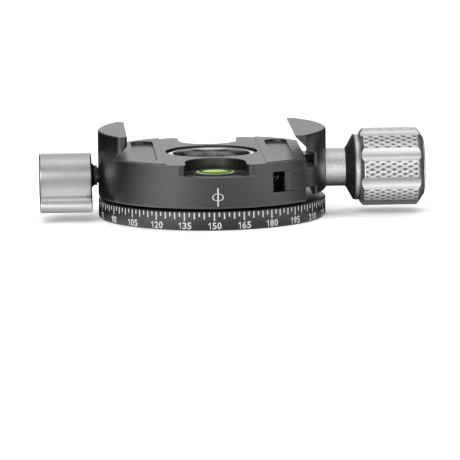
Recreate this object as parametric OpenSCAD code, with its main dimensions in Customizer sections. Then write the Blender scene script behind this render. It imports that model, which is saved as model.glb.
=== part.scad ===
// Panoramic tripod head: a turning quick-release clamp on a base plate with a degree scale.
// Millimetres. Z is the pan axis, the origin is the middle of the base plate's lower face,
// +X points to the clamp knob and -Y to the side that carries the bubble level.

/* [Base plate] */
// Diameter of the base plate and of the clamp body
head_d = 50; // [49:0.5:54]
// Height of the base plate, which carries the degree scale on its rim
base_h = 4.25; // [3.9:0.05:6]
// Broken edges of the base plate
base_edge = 0.3; // [0.1:0.05:0.6]
// Floor of the base plate under the hub
base_web = 1.8; // [1.4:0.1:2.4]
// Major diameter of the tripod thread
thread_d = 9.52; // [6.35:0.01:9.6]
// Wall of the threaded boss
boss_wall = 1.54; // [1.2:0.02:1.7]
// How far the boss ends below the floor of the hub's bowl
boss_drop = 0.3; // [0.1:0.05:2]

/* [Pan hub] */
// Wall of the hub that the clamp turns on
hub_wall = 2.45; // [2.3:0.05:2.6]
// How far the hub's bright flange stands out beyond it
flange_lip = 0.95; // [0.8:0.05:1.1]
// Thickness of the flange
flange_h = 1.3; // [1:0.05:1.6]
// Width of the flat rim round the bowl at the top of the hub
bowl_rim = 1.45; // [1.3:0.05:1.8]
// How far the bowl's wall leans in from its rim to its floor
bowl_run = 1.1; // [0.8:0.05:1.4]
// Depth of the bowl below the flange
bowl_h = 3; // [2:0.1:3.1]
// Thickness of the friction washer under the flange
washer_h = 0.4; // [0.3:0.05:0.6]
// How far the flange lies below the clamp's middle band
flange_drop = 0.45; // [0.3:0.05:0.8]
// Thread diameter of the hub screws
hub_screw_d = 2; // [1.6:0.1:2]
// Length of the hub screws
hub_screw_l = 5; // [4:0.5:7]
// Number of hub screws
hub_screws_n = 4; // [3:1:6]

/* [Clamp body] */
// Gap between the base plate and the clamp body
seam = 0.4; // [0.3:0.05:0.6]
// Height of the clamp body from the seam to its pads
body_h = 9.75; // [9.6:0.05:11]
// From the well of the hub's flange to the pads on both sides of it
band_wall = 0.7; // [0.4:0.05:1.6]
// How far the band lies below the pads
band_drop = 0.25; // [0.1:0.05:0.4]
// Broken edge round the top and bottom of the body
body_edge = 0.25; // [0.1:0.05:0.4]
// From the rim to the end face under the sliding jaw
end_in = 5.15; // [5:0.05:5.6]
// Width of the slot in each pad
slot_w = 4.9; // [4:0.1:5.2]
// Wall left between the ends of each slot and the rim
slot_rim = 1.7; // [1.2:0.1:4]
// Depth of the slot in each pad
slot_deep = 0.7; // [0.4:0.05:0.9]
// From the rim to the outer side of each slot
slot_in = 7.6; // [7.55:0.05:7.9]
// How far the pads fall away beyond the slots
pad_fall = 0.3; // [0.2:0.05:0.5]
// From the rim to the glide ring in the seam
glide_in = 6.5; // [5:0.25:8]
// Width of the glide ring
glide_w = 4; // [3:0.5:6]
// How deep the glide ring is let into the body
glide_deep = 0.5; // [0.4:0.05:0.8]

/* [Dovetail jaws] */
// Height of the jaws above the pads
jaw_h = 4.85; // [4.6:0.05:6]
// Angle of the dovetail from the vertical
dovetail = 45; // [40:1:46]
// From the rim to the lip of the fixed jaw
fixed_lip_in = 6.1; // [5.6:0.05:6.3]
// Upright face of the fixed jaw's lip
fixed_land = 2.1; // [1.8:0.05:2.4]
// From the rim to the lip of the sliding jaw
sliding_lip_in = 7.4; // [7:0.05:7.5]
// Upright face of the sliding jaw's lip
sliding_land = 0.35; // [0.3:0.05:0.8]
// From the rim to the sliding jaw's inner face
jaw_face_in = 3.5; // [3.2:0.05:3.55]
// How far the sliding jaw's lower face lies above the body's
jaw_lift = 0.95; // [0.6:0.05:1.3]
// How far the sliding jaw stands proud of the body's outline
jaw_proud = 0.2; // [0.1:0.05:0.4]
// Rounding of the jaws' top edges
jaw_round = 0.5; // [0.2:0.05:0.7]
// Corner rounding of the fixed jaw, seen from above
fixed_corner = 1.25; // [0.8:0.05:1.8]
// Corner rounding of the sliding jaw, seen from above
sliding_corner = 0.6; // [0.4:0.05:0.9]
// Length of the flat at each end of the sliding jaw's lip
sliding_flat = 2.1; // [1.6:0.05:2.6]
// Corner rounding of the sliding jaw's inner face, seen from above
foot_corner = 0.6; // [0.4:0.05:0.8]
// Height of the jaw's tongues
tongue_h = 4.3; // [3.8:0.05:4.5]
// From the pads down to the tongues' middle
tongue_drop = 4.55; // [4.45:0.05:4.7]
// Length of the tongues
tongue_l = 7; // [6.5:0.05:7.1]
// Half the clear space between the two tongues
tongue_in = 7; // [6.8:0.1:7.4]
// Corner rounding of the tongues' ends
tongue_corner = 1; // [0.5:0.1:1.4]
// Depth of the windows that the tongues run in
window_deep = 7.55; // [7.3:0.05:7.85]
// Running clearance of the tongues
tongue_gap = 0.1; // [0.06:0.01:0.15]
// How far the jaw closes from where it is drawn
jaw_close = 1.5; // [1:0.05:1.5]
// How far the jaw opens from where it is drawn
jaw_open = 2.5; // [1.5:0.05:2.5]

/* [Jaw springs] */
// Wire diameter
wire_d = 0.4; // [0.3:0.05:0.45]
// Outside diameter of the coils
spring_d = 2.6; // [2.2:0.1:2.8]
// Number of curls
curls = 8; // [6:1:8]
// From each tongue's inner side to its spring
spring_in = 6; // [5:0.1:6.4]
// Depth of the spring pockets
spring_pocket = 3; // [2.5:0.1:3]

/* [Level] */
// Diameter of the level, as a share of the room between the flange's well and the rim
level_share = 0.7475; // [0.7:0.0025:0.75]
// Wall between the flange's well and the level
level_back = 1.5; // [1.2:0.05:1.6]
// Gap between the level and its pocket, behind it
pocket_gap = 0.25; // [0.2:0.05:0.6]
// The same at the level's sides
pocket_side = 1.05; // [0.8:0.05:1.2]
// Depth of the level's and the rear pocket below the pads
pocket_deep = 2.8; // [2.4:0.05:3]
// Rounding of the pockets' mouths
mouth_round = 1.3; // [0.8:0.1:1.5]
// Height of the level
level_h = 3.2; // [2.8:0.05:3.6]
// Width of the black ring round the level's window
level_wall = 1.4; // [1.2:0.05:2.2]
// Height of the level's dome
dome_h = 0.55; // [0.4:0.05:0.8]
// Diameter of the bubble
bubble_d = 2.8; // [2:0.1:3.2]
// Diameter of the rear pocket, as a share of the same room
rear_share = 0.875; // [0.85:0.0025:0.885]
// Wall between the flange's well and the rear pocket
rear_back = 2.1; // [1.8:0.05:2.6]

/* [Clamp knob] */
// From the pads down to the clamp screw's axis
knob_drop = 4.3; // [4.25:0.05:4.55]
// Diameter of the clamp screw
clamp_screw_d = 5; // [4:0.5:5]
// Outside diameter of the screw bush in the body
bush_d = 6.6; // [6.4:0.1:6.8]
// Wall between the flange's well and the hole for the screw's tip
bush_wall = 0.55; // [0.4:0.05:2]
// Diameter of the plain sleeve
sleeve_d = 8.4; // [8:0.1:8.6]
// Length of the sleeve beyond the jaw
sleeve_l = 4.1; // [3.6:0.1:5]
// Length of the black cone
cone_l = 2.05; // [1.5:0.05:2.4]
// Large diameter of the black cone
cone_d = 14.5; // [12:0.1:14.6]
// Diameter of the bright ring
ring_d = 14.6; // [14.6:0.1:15.4]
// Length of the bright ring
ring_l = 0.95; // [0.7:0.05:2]
// Diameter of the neck between the ring and the knob
neck_d = 12.8; // [11:0.1:13.4]
// Length of that neck
neck_l = 0.15; // [0.1:0.05:0.5]
// Diameter of the knob
knob_d = 17; // [16:0.1:18]
// Length of the knob
knob_l = 14; // [11:0.1:16]
// Slope at the knob's inner end, along the axis
knob_slope_in = 0.75; // [0.3:0.05:1]
// Slope at the knob's outer end, along the axis
knob_slope_out = 1.45; // [1:0.05:2]
// How far the slope at the knob's inner end falls
knob_fall = 0.95; // [0.5:0.05:1.5]
// Number of flutes round the knob
flutes = 8; // [6:1:10]
// Width of each flute
flute_w = 3; // [2.2:0.1:3.2]
// Radius of each flute's hollow
flute_r = 2.2; // [1.8:0.1:3]
// How far a knurled land is turned from the side with the level
knob_turn = -4.7; // [-22:0.1:22]
// Diameter of the knob's end cap
cap_d = 13; // [12:0.1:14]
// Thickness of the end cap
cap_h = 0.3; // [0.2:0.05:1.2]
// Diameter of the spigot behind the cap
spigot_d = 8; // [6.5:0.5:9]
// Length of that spigot
spigot_l = 1; // [0.6:0.1:2]

/* [Pan lock] */
// From the washer's ledge down to the lock screw's axis
lock_drop = 2.75; // [2.6:0.05:2.95]
// Diameter of the lock screw
lock_screw_d = 4; // [3:0.5:4]
// Diameter of the brake shoe
shoe_d = 4; // [3.6:0.1:4.4]
// Length of the brake shoe
shoe_l = 4; // [3:0.1:5]
// Gap left between the shoe and the hub when locked
shoe_gap = 0.06; // [0.03:0.01:0.1]
// Gap between the rim and the lock knob
lock_off = 1.5; // [1.2:0.1:3]
// Length of the lock knob
lock_l = 11.5; // [10:0.1:14]
// Radius of the knob round its screw
lock_hub_r = 5; // [4.4:0.1:5.4]
// From the screw to the end of the paddle
paddle_l = 11.55; // [10.5:0.05:12]
// Radius of the paddle's round end
lobe_r = 1.75; // [1.5:0.05:2.2]
// How far that end stands proud of the hollows beside it
lobe_proud = 0.3; // [0:0.05:0.5]
// Radius of the hollows at the paddle's sides
hollow_r = 7; // [6:0.1:9]
// How far the paddle is turned up from straight down, towards the level
paddle_turn = 57; // [52:1:90]
// Broken edges of the lock knob
lock_edge = 0.3; // [0.1:0.05:0.5]
// Large diameter of the black collar
collar_d = 5.6; // [5.2:0.1:6.4]
// Small diameter of the black collar
collar_tip_d = 4.4; // [4.3:0.1:5]
// Length of the collar's narrow end
collar_neck = 0.65; // [0:0.05:0.8]

/* [Hidden] */

// Roundness of turned shapes, and of the shapes that only fillets need
smooth = 96;
fine = 32;
// Every cut runs this far past what it cuts
overrun = 1;
// Radial clearance of running fits and of seats
fit = 0.05;
// Slit between two flat faces that turn or slide on each other
slit = 0.05;

head_r = head_d / 2;
thread_r = thread_d / 2;
boss_r = thread_r + boss_wall;
bore_r = boss_r + fit;
hub_r = bore_r + hub_wall;
// A countersunk head: its radius and its height, by the thread's diameter
head_share = 0.95;
head_h_share = 0.55;
flange_r = hub_r + flange_lip;
bowl_r = flange_r - bowl_rim;
hub_screw_circle = bore_r + hub_r;

// Heights, from the lower face up
body_z = base_h + seam;
pad_z = body_z + body_h;
band_z = pad_z - band_drop;
flange_top = band_z - flange_drop;
flange_z = flange_top - flange_h;
ledge_z = flange_z - washer_h - slit;
bowl_z = flange_top - bowl_h;
boss_h = bowl_z - boss_drop;
jaw_top = pad_z + jaw_h;
jaw_foot = body_z + jaw_lift;
pocket_z = pad_z - pocket_deep;
tongue_z = pad_z - tongue_drop;
knob_z = pad_z - knob_drop;
lock_z = ledge_z - lock_drop;

// The well that the flange lies in, and the washer on its ledge
flange_gap = 0.4;
well_r = flange_r + flange_gap;
washer_r = flange_r - slit;
band_r = well_r + band_wall;
room = head_r - well_r;
glide_r = head_r - glide_in;

// Dovetail: its lips, and the feet of its two slopes
fixed_lip = head_r - fixed_lip_in;
sliding_lip = head_r - sliding_lip_in;
jaw_face = head_r - jaw_face_in;
body_end = head_r - end_in;
fixed_root = fixed_lip + (jaw_h - fixed_land) * tan(dovetail);
slope_drop = (jaw_face - sliding_lip) / tan(dovetail);
slope_foot = jaw_top - sliding_land - slope_drop;
sliding_end = sqrt(head_r ^ 2 - (sliding_lip + sliding_flat - jaw_proud) ^ 2);
slot_side = head_r - slot_in;
slot_x = slot_side - slot_w / 2;
slot_y = sqrt((head_r - slot_rim - slot_w / 2) ^ 2 - slot_x ^ 2);

// Jaw windows and the springs in them
tongue_end = jaw_face - tongue_l;
tongue_foot = tongue_z - tongue_h / 2;
window_end = body_end - window_deep;
spring_y = tongue_in + spring_in;
window_h = tongue_h + 2 * tongue_gap;
spring_r = spring_d / 2;
pocket_r = spring_r + 3 * fit;
coil_r = spring_r - wire_d / 2;
spring_x = window_end - spring_pocket + slit;
spring_l = tongue_end + spring_pocket - slit - spring_x;
coil_rings = 8;
coil_sides = 6;
coil_steps = curls * coil_rings;

// Stations of the knob's pieces along X
jaw_outer = head_r + jaw_proud;
spot_x = jaw_proud + sqrt(head_r * head_r - sleeve_d * sleeve_d / 4) - fit;
sleeve_end = jaw_outer + sleeve_l;
cone_end = sleeve_end + cone_l;
ring_end = cone_end + ring_l;
knob_x = ring_end + neck_l;
knob_end = knob_x + knob_l;
screw_r = clamp_screw_d / 2;
bush_sink = 2 * slit;
bush_x = well_r + bush_wall + jaw_close + fit;
screw_tip = bush_x;
screw_tail = knob_end - spigot_l;
flute_axis = sqrt(knob_d * knob_d / 4 - flute_w * flute_w / 4)
  + sqrt(flute_r * flute_r - flute_w * flute_w / 4);

// Stations of the lock's pieces along X, counted outwards from the pan axis
shoe_x = hub_r + shoe_gap;
shoe_end = shoe_x + shoe_l;
lock_x = head_r + lock_off;
lock_screw_end = lock_x + lock_l - lock_hub_r / 2;
collar_x = head_r + slit + jaw_proud;
lobe_x = paddle_l - lobe_r;
neck_r = lobe_r - lobe_proud;
hollow_z = ((hollow_r + lock_hub_r) ^ 2 - (hollow_r + neck_r) ^ 2 + lobe_x ^ 2) / (2 * lobe_x);
hollow_y = sqrt((hollow_r + lock_hub_r) ^ 2 - hollow_z ^ 2);

// Level: floor and top of its parts
level_floor = pocket_z - level_h + dome_h / 2;
level_top = level_floor + level_h;
level_r = level_share * room / 2;
level_y = well_r + level_back + level_r;
window_r = level_r - level_wall;
level_pocket_r = level_r + pocket_side;
level_pocket_y = level_y - level_r - pocket_gap + level_pocket_r;
rear_pocket_r = rear_share * room / 2;
rear_y = well_r + rear_back + rear_pocket_r;
dome_r = (window_r * window_r + dome_h * dome_h) / (2 * dome_h);
bubble_r = bubble_d / 2;

// Middle of the spring's wire at one of its rings, along +X from the spring's foot
function coil_at(i) = [
  wire_d / 2 + (spring_l - wire_d) * i / coil_steps,
  coil_r * cos(360 * i / coil_rings),
  coil_r * sin(360 * i / coil_rings)
];
coil_gaps = [for (i = [0 : coil_steps - coil_rings], j = [i + coil_rings - 2 : i + coil_rings])
  norm(coil_at(j) - coil_at(i)) - wire_d];
echo("least gap between two curls of a spring", min(coil_gaps));

// A ring or a disc, standing on z
module turned(outer, z, top, inner = 0) {
  translate([0, 0, z]) difference() {
    cylinder(r = outer, h = top - z, $fn = smooth);
    if (inner > 0)
      translate([0, 0, -overrun]) cylinder(r = inner, h = top - z + 2 * overrun, $fn = smooth);
  }
}

// The same along X at a height, between two stations
module turned_x(outer, from, to, z, inner = 0) {
  translate([0, 0, z]) rotate([0, 90, 0]) turned(outer, from, to, inner);
}

// A flat profile of X and Z points, drawn out along Y past the whole head
module drawn_along_y(points) {
  translate([0, head_d, 0]) rotate([90, 0, 0]) linear_extrude(2 * head_d) polygon(points);
}

// Both sides of the head: the front and its mirror image
module both_sides() {
  children();
  mirror([0, 1, 0]) children();
}

// The round outline that the body and the jaws share, with a rounded top edge
module outline(radius, z, top, round_top, edge_bottom) {
  rotate_extrude($fn = smooth) polygon([
    [0, z], [radius - edge_bottom, z], [radius, z + edge_bottom],
    for (turn = [0 : 15 : 90])
      [radius - round_top + round_top * cos(turn), top - round_top + round_top * sin(turn)],
    [0, top]
  ]);
}

// What falls away when the corner between an upright plane and the outline is rounded
module corner_waste(plane, radius, corner, z, top) {
  across = plane + corner;
  along = sqrt((radius - corner) ^ 2 - across ^ 2);
  reach = radius / (radius - corner);
  translate([0, 0, z]) difference() {
    linear_extrude(top - z) polygon([
      [plane - overrun, along], [across, along], [across * reach, along * reach],
      [across * reach, head_r + overrun + jaw_proud], [plane - overrun, head_r + overrun + jaw_proud]
    ]);
    translate([across, along, -overrun]) cylinder(r = corner, h = top - z + 2 * overrun, $fn = smooth);
  }
}

// A pocket that is open to the rim, with its mouth rounded off, pointing to +Y
module rim_pocket(half, middle, z, top) {
  across = half + mouth_round;
  along = sqrt((head_r - mouth_round) ^ 2 - across ^ 2);
  reach = head_r / (head_r - mouth_round);
  translate([0, 0, z]) {
    translate([0, middle, 0]) cylinder(r = half, h = top - z, $fn = smooth);
    translate([-half, middle, 0]) cube([2 * half, head_r, top - z]);
    for (side = [0, 1]) mirror([side, 0, 0]) difference() {
      linear_extrude(top - z) polygon([
        [0, along], [across, along], [across * reach, along * reach],
        [across * reach, head_r + overrun], [0, head_r + overrun]
      ]);
      translate([across, along, -overrun])
        cylinder(r = mouth_round, h = top - z + 2 * overrun, $fn = smooth);
    }
  }
}

// The long slot in a pad
module pad_slot(x) {
  translate([x, 0, pad_z - slot_deep]) {
    both_sides() translate([0, slot_y, 0]) cylinder(d = slot_w, h = jaw_h, $fn = smooth);
    translate([-slot_w / 2, -slot_y, 0]) cube([slot_w, 2 * slot_y, jaw_h]);
  }
}

// A countersunk screw, its head flush with z = 0, pointing up; grow widens it for the holes
module flat_screw(length, grow) {
  cylinder(r1 = head_share * hub_screw_d + grow, r2 = hub_screw_d / 2 + grow,
    h = head_h_share * hub_screw_d, $fn = fine);
  cylinder(r = hub_screw_d / 2 + grow, h = length, $fn = fine);
}

// Places of the hub screws
module at_hub_screws() {
  for (i = [0 : hub_screws_n - 1])
    rotate([0, 0, 360 * (i + 0.5) / hub_screws_n]) translate([hub_screw_circle / 2, 0, 0]) children();
}

// Base plate: scale ring and floor in one disc, with the threaded boss in its middle
module base_plate() {
  color("#2c2c2f") difference() {
    union() {
      rotate_extrude($fn = smooth) polygon([
        [0, 0], [head_r - base_edge, 0], [head_r, base_edge],
        [head_r, base_h - base_edge], [head_r - base_edge, base_h], [0, base_h]
      ]);
      cylinder(r = boss_r, h = boss_h, $fn = smooth);
    }
    turned(hub_r + fit, base_web, boss_h + overrun, boss_r);
    translate([0, 0, -overrun]) cylinder(r = thread_r, h = boss_h + 2 * overrun, $fn = smooth);
    at_hub_screws() flat_screw(hub_screw_l, fit);
  }
}

// Pan hub: the turned steel bearing, with a flange above the clamp body and a bowl in its top
module pan_hub() {
  color("#d9dadd") difference() {
    rotate_extrude($fn = smooth) polygon([
      [bore_r, base_web], [hub_r, base_web], [hub_r, flange_z], [flange_r, flange_z],
      [flange_r, flange_top - base_edge / 2], [flange_r - base_edge / 2, flange_top],
      [bowl_r, flange_top], [bowl_r - bowl_run, bowl_z], [bore_r, bowl_z]
    ]);
    at_hub_screws() translate([0, 0, base_web - overrun])
      cylinder(r = hub_screw_d / 2 + fit, h = hub_screw_l - base_web + overrun + slit, $fn = fine);
  }
}

// Hub screws, from below through the base plate
module hub_screws() {
  color("#8f9094") at_hub_screws() translate([0, 0, slit]) flat_screw(hub_screw_l - slit, 0);
}

// Glide ring: lies in the body's groove and runs on the base plate
module glide_ring() {
  color("#e9e7df")
    turned(glide_r - fit, base_h + slit, body_z + glide_deep - slit, glide_r - glide_w + fit);
}

// Friction washer between the hub's flange and the body's ledge
module flange_washer() {
  color("#e9e7df") turned(washer_r, ledge_z, flange_z - slit, hub_r + 2 * fit);
}

// Clamp body: a disc with the fixed jaw standing on it
module clamp_body() {
  color("#3a3a3d") difference() {
    outline(head_r, body_z, jaw_top, jaw_round, body_edge);
    // the dovetail channel, from the fixed jaw's slope to beyond the far rim
    drawn_along_y([
      [-fixed_root, pad_z], [-fixed_lip, jaw_top - fixed_land], [-fixed_lip, jaw_top + overrun],
      [head_d, jaw_top + overrun], [head_d, pad_z]
    ]);
    mirror([1, 0, 0]) both_sides()
      corner_waste(fixed_lip, head_r, fixed_corner, pad_z, jaw_top + overrun);
    // the rim's edge is broken wherever no jaw stands on it
    intersection() {
      rotate_extrude($fn = smooth) polygon([
        [head_r - body_edge, pad_z + slit], [head_r - body_edge, pad_z], [head_r, pad_z - body_edge],
        [head_r + overrun, pad_z - body_edge], [head_r + overrun, pad_z + slit]
      ]);
      translate([-fixed_root, -head_d, 0]) cube([head_d, 2 * head_d, jaw_top]);
    }
    // the pads fall away under the lips
    drawn_along_y([
      [slot_side, pad_z], [body_end + overrun, pad_z - pad_fall], [body_end + overrun, pad_z + slit],
      [slot_side, pad_z + slit]
    ]);
    drawn_along_y([
      [-slot_side - slot_deep, pad_z], [-fixed_root, pad_z - pad_fall], [-fixed_root, pad_z]
    ]);
    // the middle band
    translate([-band_r, -head_d, band_z]) cube([2 * band_r, 2 * head_d, jaw_h]);
    // the end face under the sliding jaw
    translate([body_end, -head_d, body_z - overrun]) cube([head_d, 2 * head_d, jaw_top]);
    // bearing bore, and the well for the washer and the flange
    translate([0, 0, body_z - overrun]) cylinder(r = hub_r + fit, h = jaw_top, $fn = smooth);
    translate([0, 0, ledge_z]) cylinder(r = well_r, h = jaw_top, $fn = smooth);
    turned(glide_r, body_z - overrun, body_z + glide_deep, glide_r - glide_w);
    // pockets: level in front, plain pocket behind, and the slots in the pads
    mirror([0, 1, 0]) rim_pocket(level_pocket_r, level_pocket_y, pocket_z, jaw_top);
    translate([0, -level_y, level_floor]) cylinder(r = level_r + fit, h = jaw_h, $fn = smooth);
    rim_pocket(rear_pocket_r, rear_y, pocket_z, jaw_top);
    pad_slot(slot_x);
    pad_slot(-slot_x);
    // windows for the tongues, and the spring pockets at their ends
    both_sides() {
      translate([window_end, tongue_in - 2 * tongue_gap, tongue_z - window_h / 2])
        cube([head_r, head_r, window_h]);
      translate([0, spring_y, 0])
        turned_x(pocket_r, window_end - spring_pocket, window_end + overrun, tongue_z);
    }
    // seat of the screw bush, with a clear hole behind it for the screw's tip
    turned_x(bush_d / 2 + fit, bush_x, body_end + overrun, knob_z);
    turned_x(screw_r + 2 * fit, screw_tip - jaw_close - fit, body_end, knob_z);
    // lock: thread from outside, then the brake shoe's guide
    mirror([1, 0, 0]) {
      turned_x(lock_screw_d / 2 + fit, shoe_end, head_r + overrun, lock_z);
      turned_x(shoe_d / 2 + fit, hub_r - overrun, shoe_end + fit, lock_z);
    }
  }
}

// Screw bush: the brass thread that the clamp screw runs in
module screw_bush() {
  color("#b8964f") turned_x(bush_d / 2, bush_x, body_end - bush_sink, knob_z, screw_r + fit);
}

// Sliding jaw: the other half of the dovetail, with two tongues that guide it
module sliding_jaw() {
  window_y = tongue_in + tongue_gap;
  color("#3a3a3d") difference() {
    union() {
      difference() {
        intersection() {
          translate([jaw_proud, 0, 0]) outline(head_r, jaw_foot, jaw_top, jaw_round, jaw_round);
          translate([sliding_lip, -sliding_end, jaw_foot])
            cube([head_r, 2 * sliding_end, jaw_top - jaw_foot]);
          drawn_along_y([
            [sliding_lip, jaw_top], [sliding_lip, jaw_top - sliding_land],
            [jaw_face, slope_foot], [jaw_face, jaw_foot],
            [head_d, jaw_foot], [head_d, jaw_top]
          ]);
        }
        both_sides() translate([jaw_proud, 0, 0]) {
          rotate([0, 0, -90])
            corner_waste(-sliding_end, head_r, sliding_corner, jaw_foot, jaw_top + overrun);
          corner_waste(jaw_face - jaw_proud, head_r, foot_corner, jaw_foot - overrun, tongue_foot);
          corner_waste(jaw_face - jaw_proud, head_r, foot_corner, tongue_foot + tongue_h, slope_foot);
        }
      }
      both_sides() difference() {
        intersection() {
          translate([jaw_proud, 0, 0]) turned(head_r, tongue_foot, tongue_foot + tongue_h);
          translate([tongue_end, window_y, jaw_foot]) cube([jaw_face - tongue_end + fit, head_r, jaw_h * 2]);
        }
        translate([jaw_proud, 0, 0])
          corner_waste(tongue_end - jaw_proud, head_r, tongue_corner, jaw_foot, pad_z);
      }
    }
    both_sides() translate([0, spring_y, 0])
      turned_x(pocket_r, tongue_end - overrun, tongue_end + spring_pocket, tongue_z);
    turned_x(screw_r + fit, tongue_end, jaw_outer + overrun, knob_z);
    turned_x(sleeve_d / 2 + 3 * fit, spot_x, jaw_outer + overrun, knob_z);
  }
}

// A jaw spring: one wire wound by formula, along +X from its pocket in the body
module spring(y) {
  points = [for (i = [0 : coil_steps], k = [0 : coil_sides - 1])
    let (turn = 360 * i / coil_rings, lean = 360 * k / coil_sides,
         reach = coil_r + wire_d / 2 * cos(lean), mid = coil_at(i))
    [mid[0] + wire_d / 2 * sin(lean), reach * cos(turn), reach * sin(turn)]];
  sides = [for (i = [0 : coil_steps - 1], k = [0 : coil_sides - 1])
    let (a = i * coil_sides + k, b = i * coil_sides + (k + 1) % coil_sides)
    each [[a, a + coil_sides, b], [b, a + coil_sides, b + coil_sides]]];
  first = [for (k = [1 : coil_sides - 2]) [0, k, k + 1]];
  last = coil_steps * coil_sides;
  ends = [for (k = [1 : coil_sides - 2]) [last, last + k + 1, last + k]];
  color("#c9cacc") translate([spring_x, y, tongue_z])
    polyhedron(points = points, faces = concat(sides, first, ends));
}

module front_spring() { spring(-spring_y); }

module rear_spring() { spring(spring_y); }

// Level: black cup let into the body
module level_housing() {
  color("#17181a") translate([0, -level_y, 0]) difference() {
    turned(level_r, level_floor, level_top);
    translate([0, 0, level_floor + level_wall / 2])
      cylinder(r = window_r, h = level_h, $fn = smooth);
  }
}

// The domed glass that closes the level
module dome() {
  half_angle = asin(window_r / dome_r);
  translate([0, -level_y, level_top]) rotate_extrude($fn = smooth) polygon([
    [0, 0],
    for (share = [1 : -0.125 : 0])
      [dome_r * sin(half_angle * share), dome_h - dome_r + dome_r * cos(half_angle * share)]
  ]);
}

// The bubble: a lens of air under the dome
module bubble_shape() {
  lens_r = bubble_d;
  sink = lens_r - sqrt(lens_r ^ 2 - bubble_r ^ 2);
  translate([0, -level_y, level_top - 2 * sink]) intersection() {
    translate([0, 0, lens_r]) sphere(r = lens_r, $fn = smooth);
    translate([0, 0, 2 * sink - lens_r]) sphere(r = lens_r, $fn = smooth);
  }
}

module level_fluid() {
  color("#a9d43c") difference() {
    translate([0, -level_y, 0])
      turned(window_r, level_floor + level_wall / 2, level_top);
    bubble_shape();
  }
}

module level_bubble() {
  color("#e8f6b0") bubble_shape();
}

module level_window() {
  color("#cfe58a", 0.5) dome();
}

// Clamp screw: runs in the bush and carries the knob
module clamp_screw() {
  color("#c4c5c8") turned_x(screw_r, screw_tip, screw_tail, knob_z);
}

// Plain sleeve: its end pushes on the jaw
module knob_sleeve() {
  color("#c9cacd") turned_x(sleeve_d / 2, spot_x + slit, sleeve_end, knob_z, screw_r + fit);
}

// Black cone between the sleeve and the bright ring
module knob_cone() {
  color("#161617") translate([0, 0, knob_z]) rotate([0, 90, 0]) rotate_extrude($fn = smooth) polygon([
    [screw_r + fit, sleeve_end], [sleeve_d / 2 - fit, sleeve_end], [cone_d / 2, cone_end],
    [screw_r + fit, cone_end]
  ]);
}

// Bright ring behind the knob
module knob_ring() {
  color("#e2e3e6") turned_x(ring_d / 2, cone_end, ring_end, knob_z, screw_r + fit);
}

// Clamp knob: turned body, with hollow flutes between its knurled lands
module clamp_knob() {
  knob_r = knob_d / 2;
  color("#bfc0c4") translate([0, 0, knob_z]) rotate([knob_turn, 0, 0]) rotate([0, 90, 0]) difference() {
    rotate_extrude($fn = smooth) polygon([
      [screw_r + fit, ring_end], [neck_d / 2, ring_end], [neck_d / 2, knob_x],
      [knob_r - knob_fall, knob_x], [knob_r, knob_x + knob_slope_in],
      [knob_r, knob_end - knob_slope_out], [cap_d / 2 + slit, knob_end],
      [spigot_d / 2 + fit, knob_end], [spigot_d / 2 + fit, screw_tail], [screw_r + fit, screw_tail]
    ]);
    for (i = [0 : flutes - 1]) rotate([0, 0, 360 * (i + 0.5) / flutes + 90])
      translate([flute_axis, 0, knob_x - overrun])
        cylinder(r = flute_r, h = knob_l + 2 * overrun, $fn = smooth);
  }
}

// End cap of the knob, over the screw's tail
module knob_cap() {
  color("#cfd0d3") {
    turned_x(spigot_d / 2, screw_tail + slit, knob_end, knob_z);
    turned_x(cap_d / 2, knob_end, knob_end + cap_h, knob_z);
  }
}

// Brake shoe: a brass plug whose hollow end fits the hub
module brake_shoe() {
  color("#b8964f") mirror([1, 0, 0]) difference() {
    turned_x(shoe_d / 2, hub_r - overrun, shoe_end - slit, lock_z);
    cylinder(r = shoe_x, h = jaw_top, $fn = smooth);
  }
}

// Lock screw
module lock_screw() {
  color("#c4c5c8") mirror([1, 0, 0]) turned_x(lock_screw_d / 2, shoe_end, lock_screw_end, lock_z);
}

// Black collar between the lock knob and the body
module lock_collar() {
  color("#161617") mirror([1, 0, 0]) translate([0, 0, lock_z]) rotate([0, 90, 0])
    rotate_extrude($fn = smooth) polygon([
      [lock_screw_d / 2 + fit, collar_x], [collar_tip_d / 2, collar_x],
      [collar_tip_d / 2, collar_x + collar_neck], [collar_d / 2, lock_x],
      [lock_screw_d / 2 + fit, lock_x]
    ]);
}

// Outline of the lock knob: a round hub that narrows, between two hollows, to a beaded end
module paddle(length, shrink) {
  hub = lock_hub_r - shrink;
  neck = neck_r - shrink;
  linear_extrude(length) {
    difference() {
      union() {
        circle(r = hub, $fn = smooth);
        polygon([
          [0, 0], [hollow_z, hollow_y] * hub / (lock_hub_r + hollow_r),
          [lobe_x, 0] + [hollow_z - lobe_x, hollow_y] * neck / (neck_r + hollow_r),
          [lobe_x, 0] + [hollow_z - lobe_x, -hollow_y] * neck / (neck_r + hollow_r),
          [hollow_z, -hollow_y] * hub / (lock_hub_r + hollow_r)
        ]);
      }
      for (side = [-1, 1])
        translate([hollow_z, side * hollow_y]) circle(r = hollow_r + shrink, $fn = smooth);
    }
    translate([lobe_x, 0]) circle(r = lobe_r - shrink, $fn = smooth);
  }
}

// Lock knob: the one-sided paddle that locks the pan
module lock_knob() {
  color("#c4c5c9") translate([-lock_x, 0, lock_z]) rotate([180 - paddle_turn, 0, 0])
    rotate([0, -90, 0]) difference() {
      union() {
        translate([0, 0, lock_edge]) paddle(lock_l - 2 * lock_edge, 0);
        paddle(lock_l, lock_edge);
      }
      translate([0, 0, -overrun])
        cylinder(r = lock_screw_d / 2 + fit, h = lock_screw_end - lock_x + overrun, $fn = smooth);
    }
}

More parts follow.
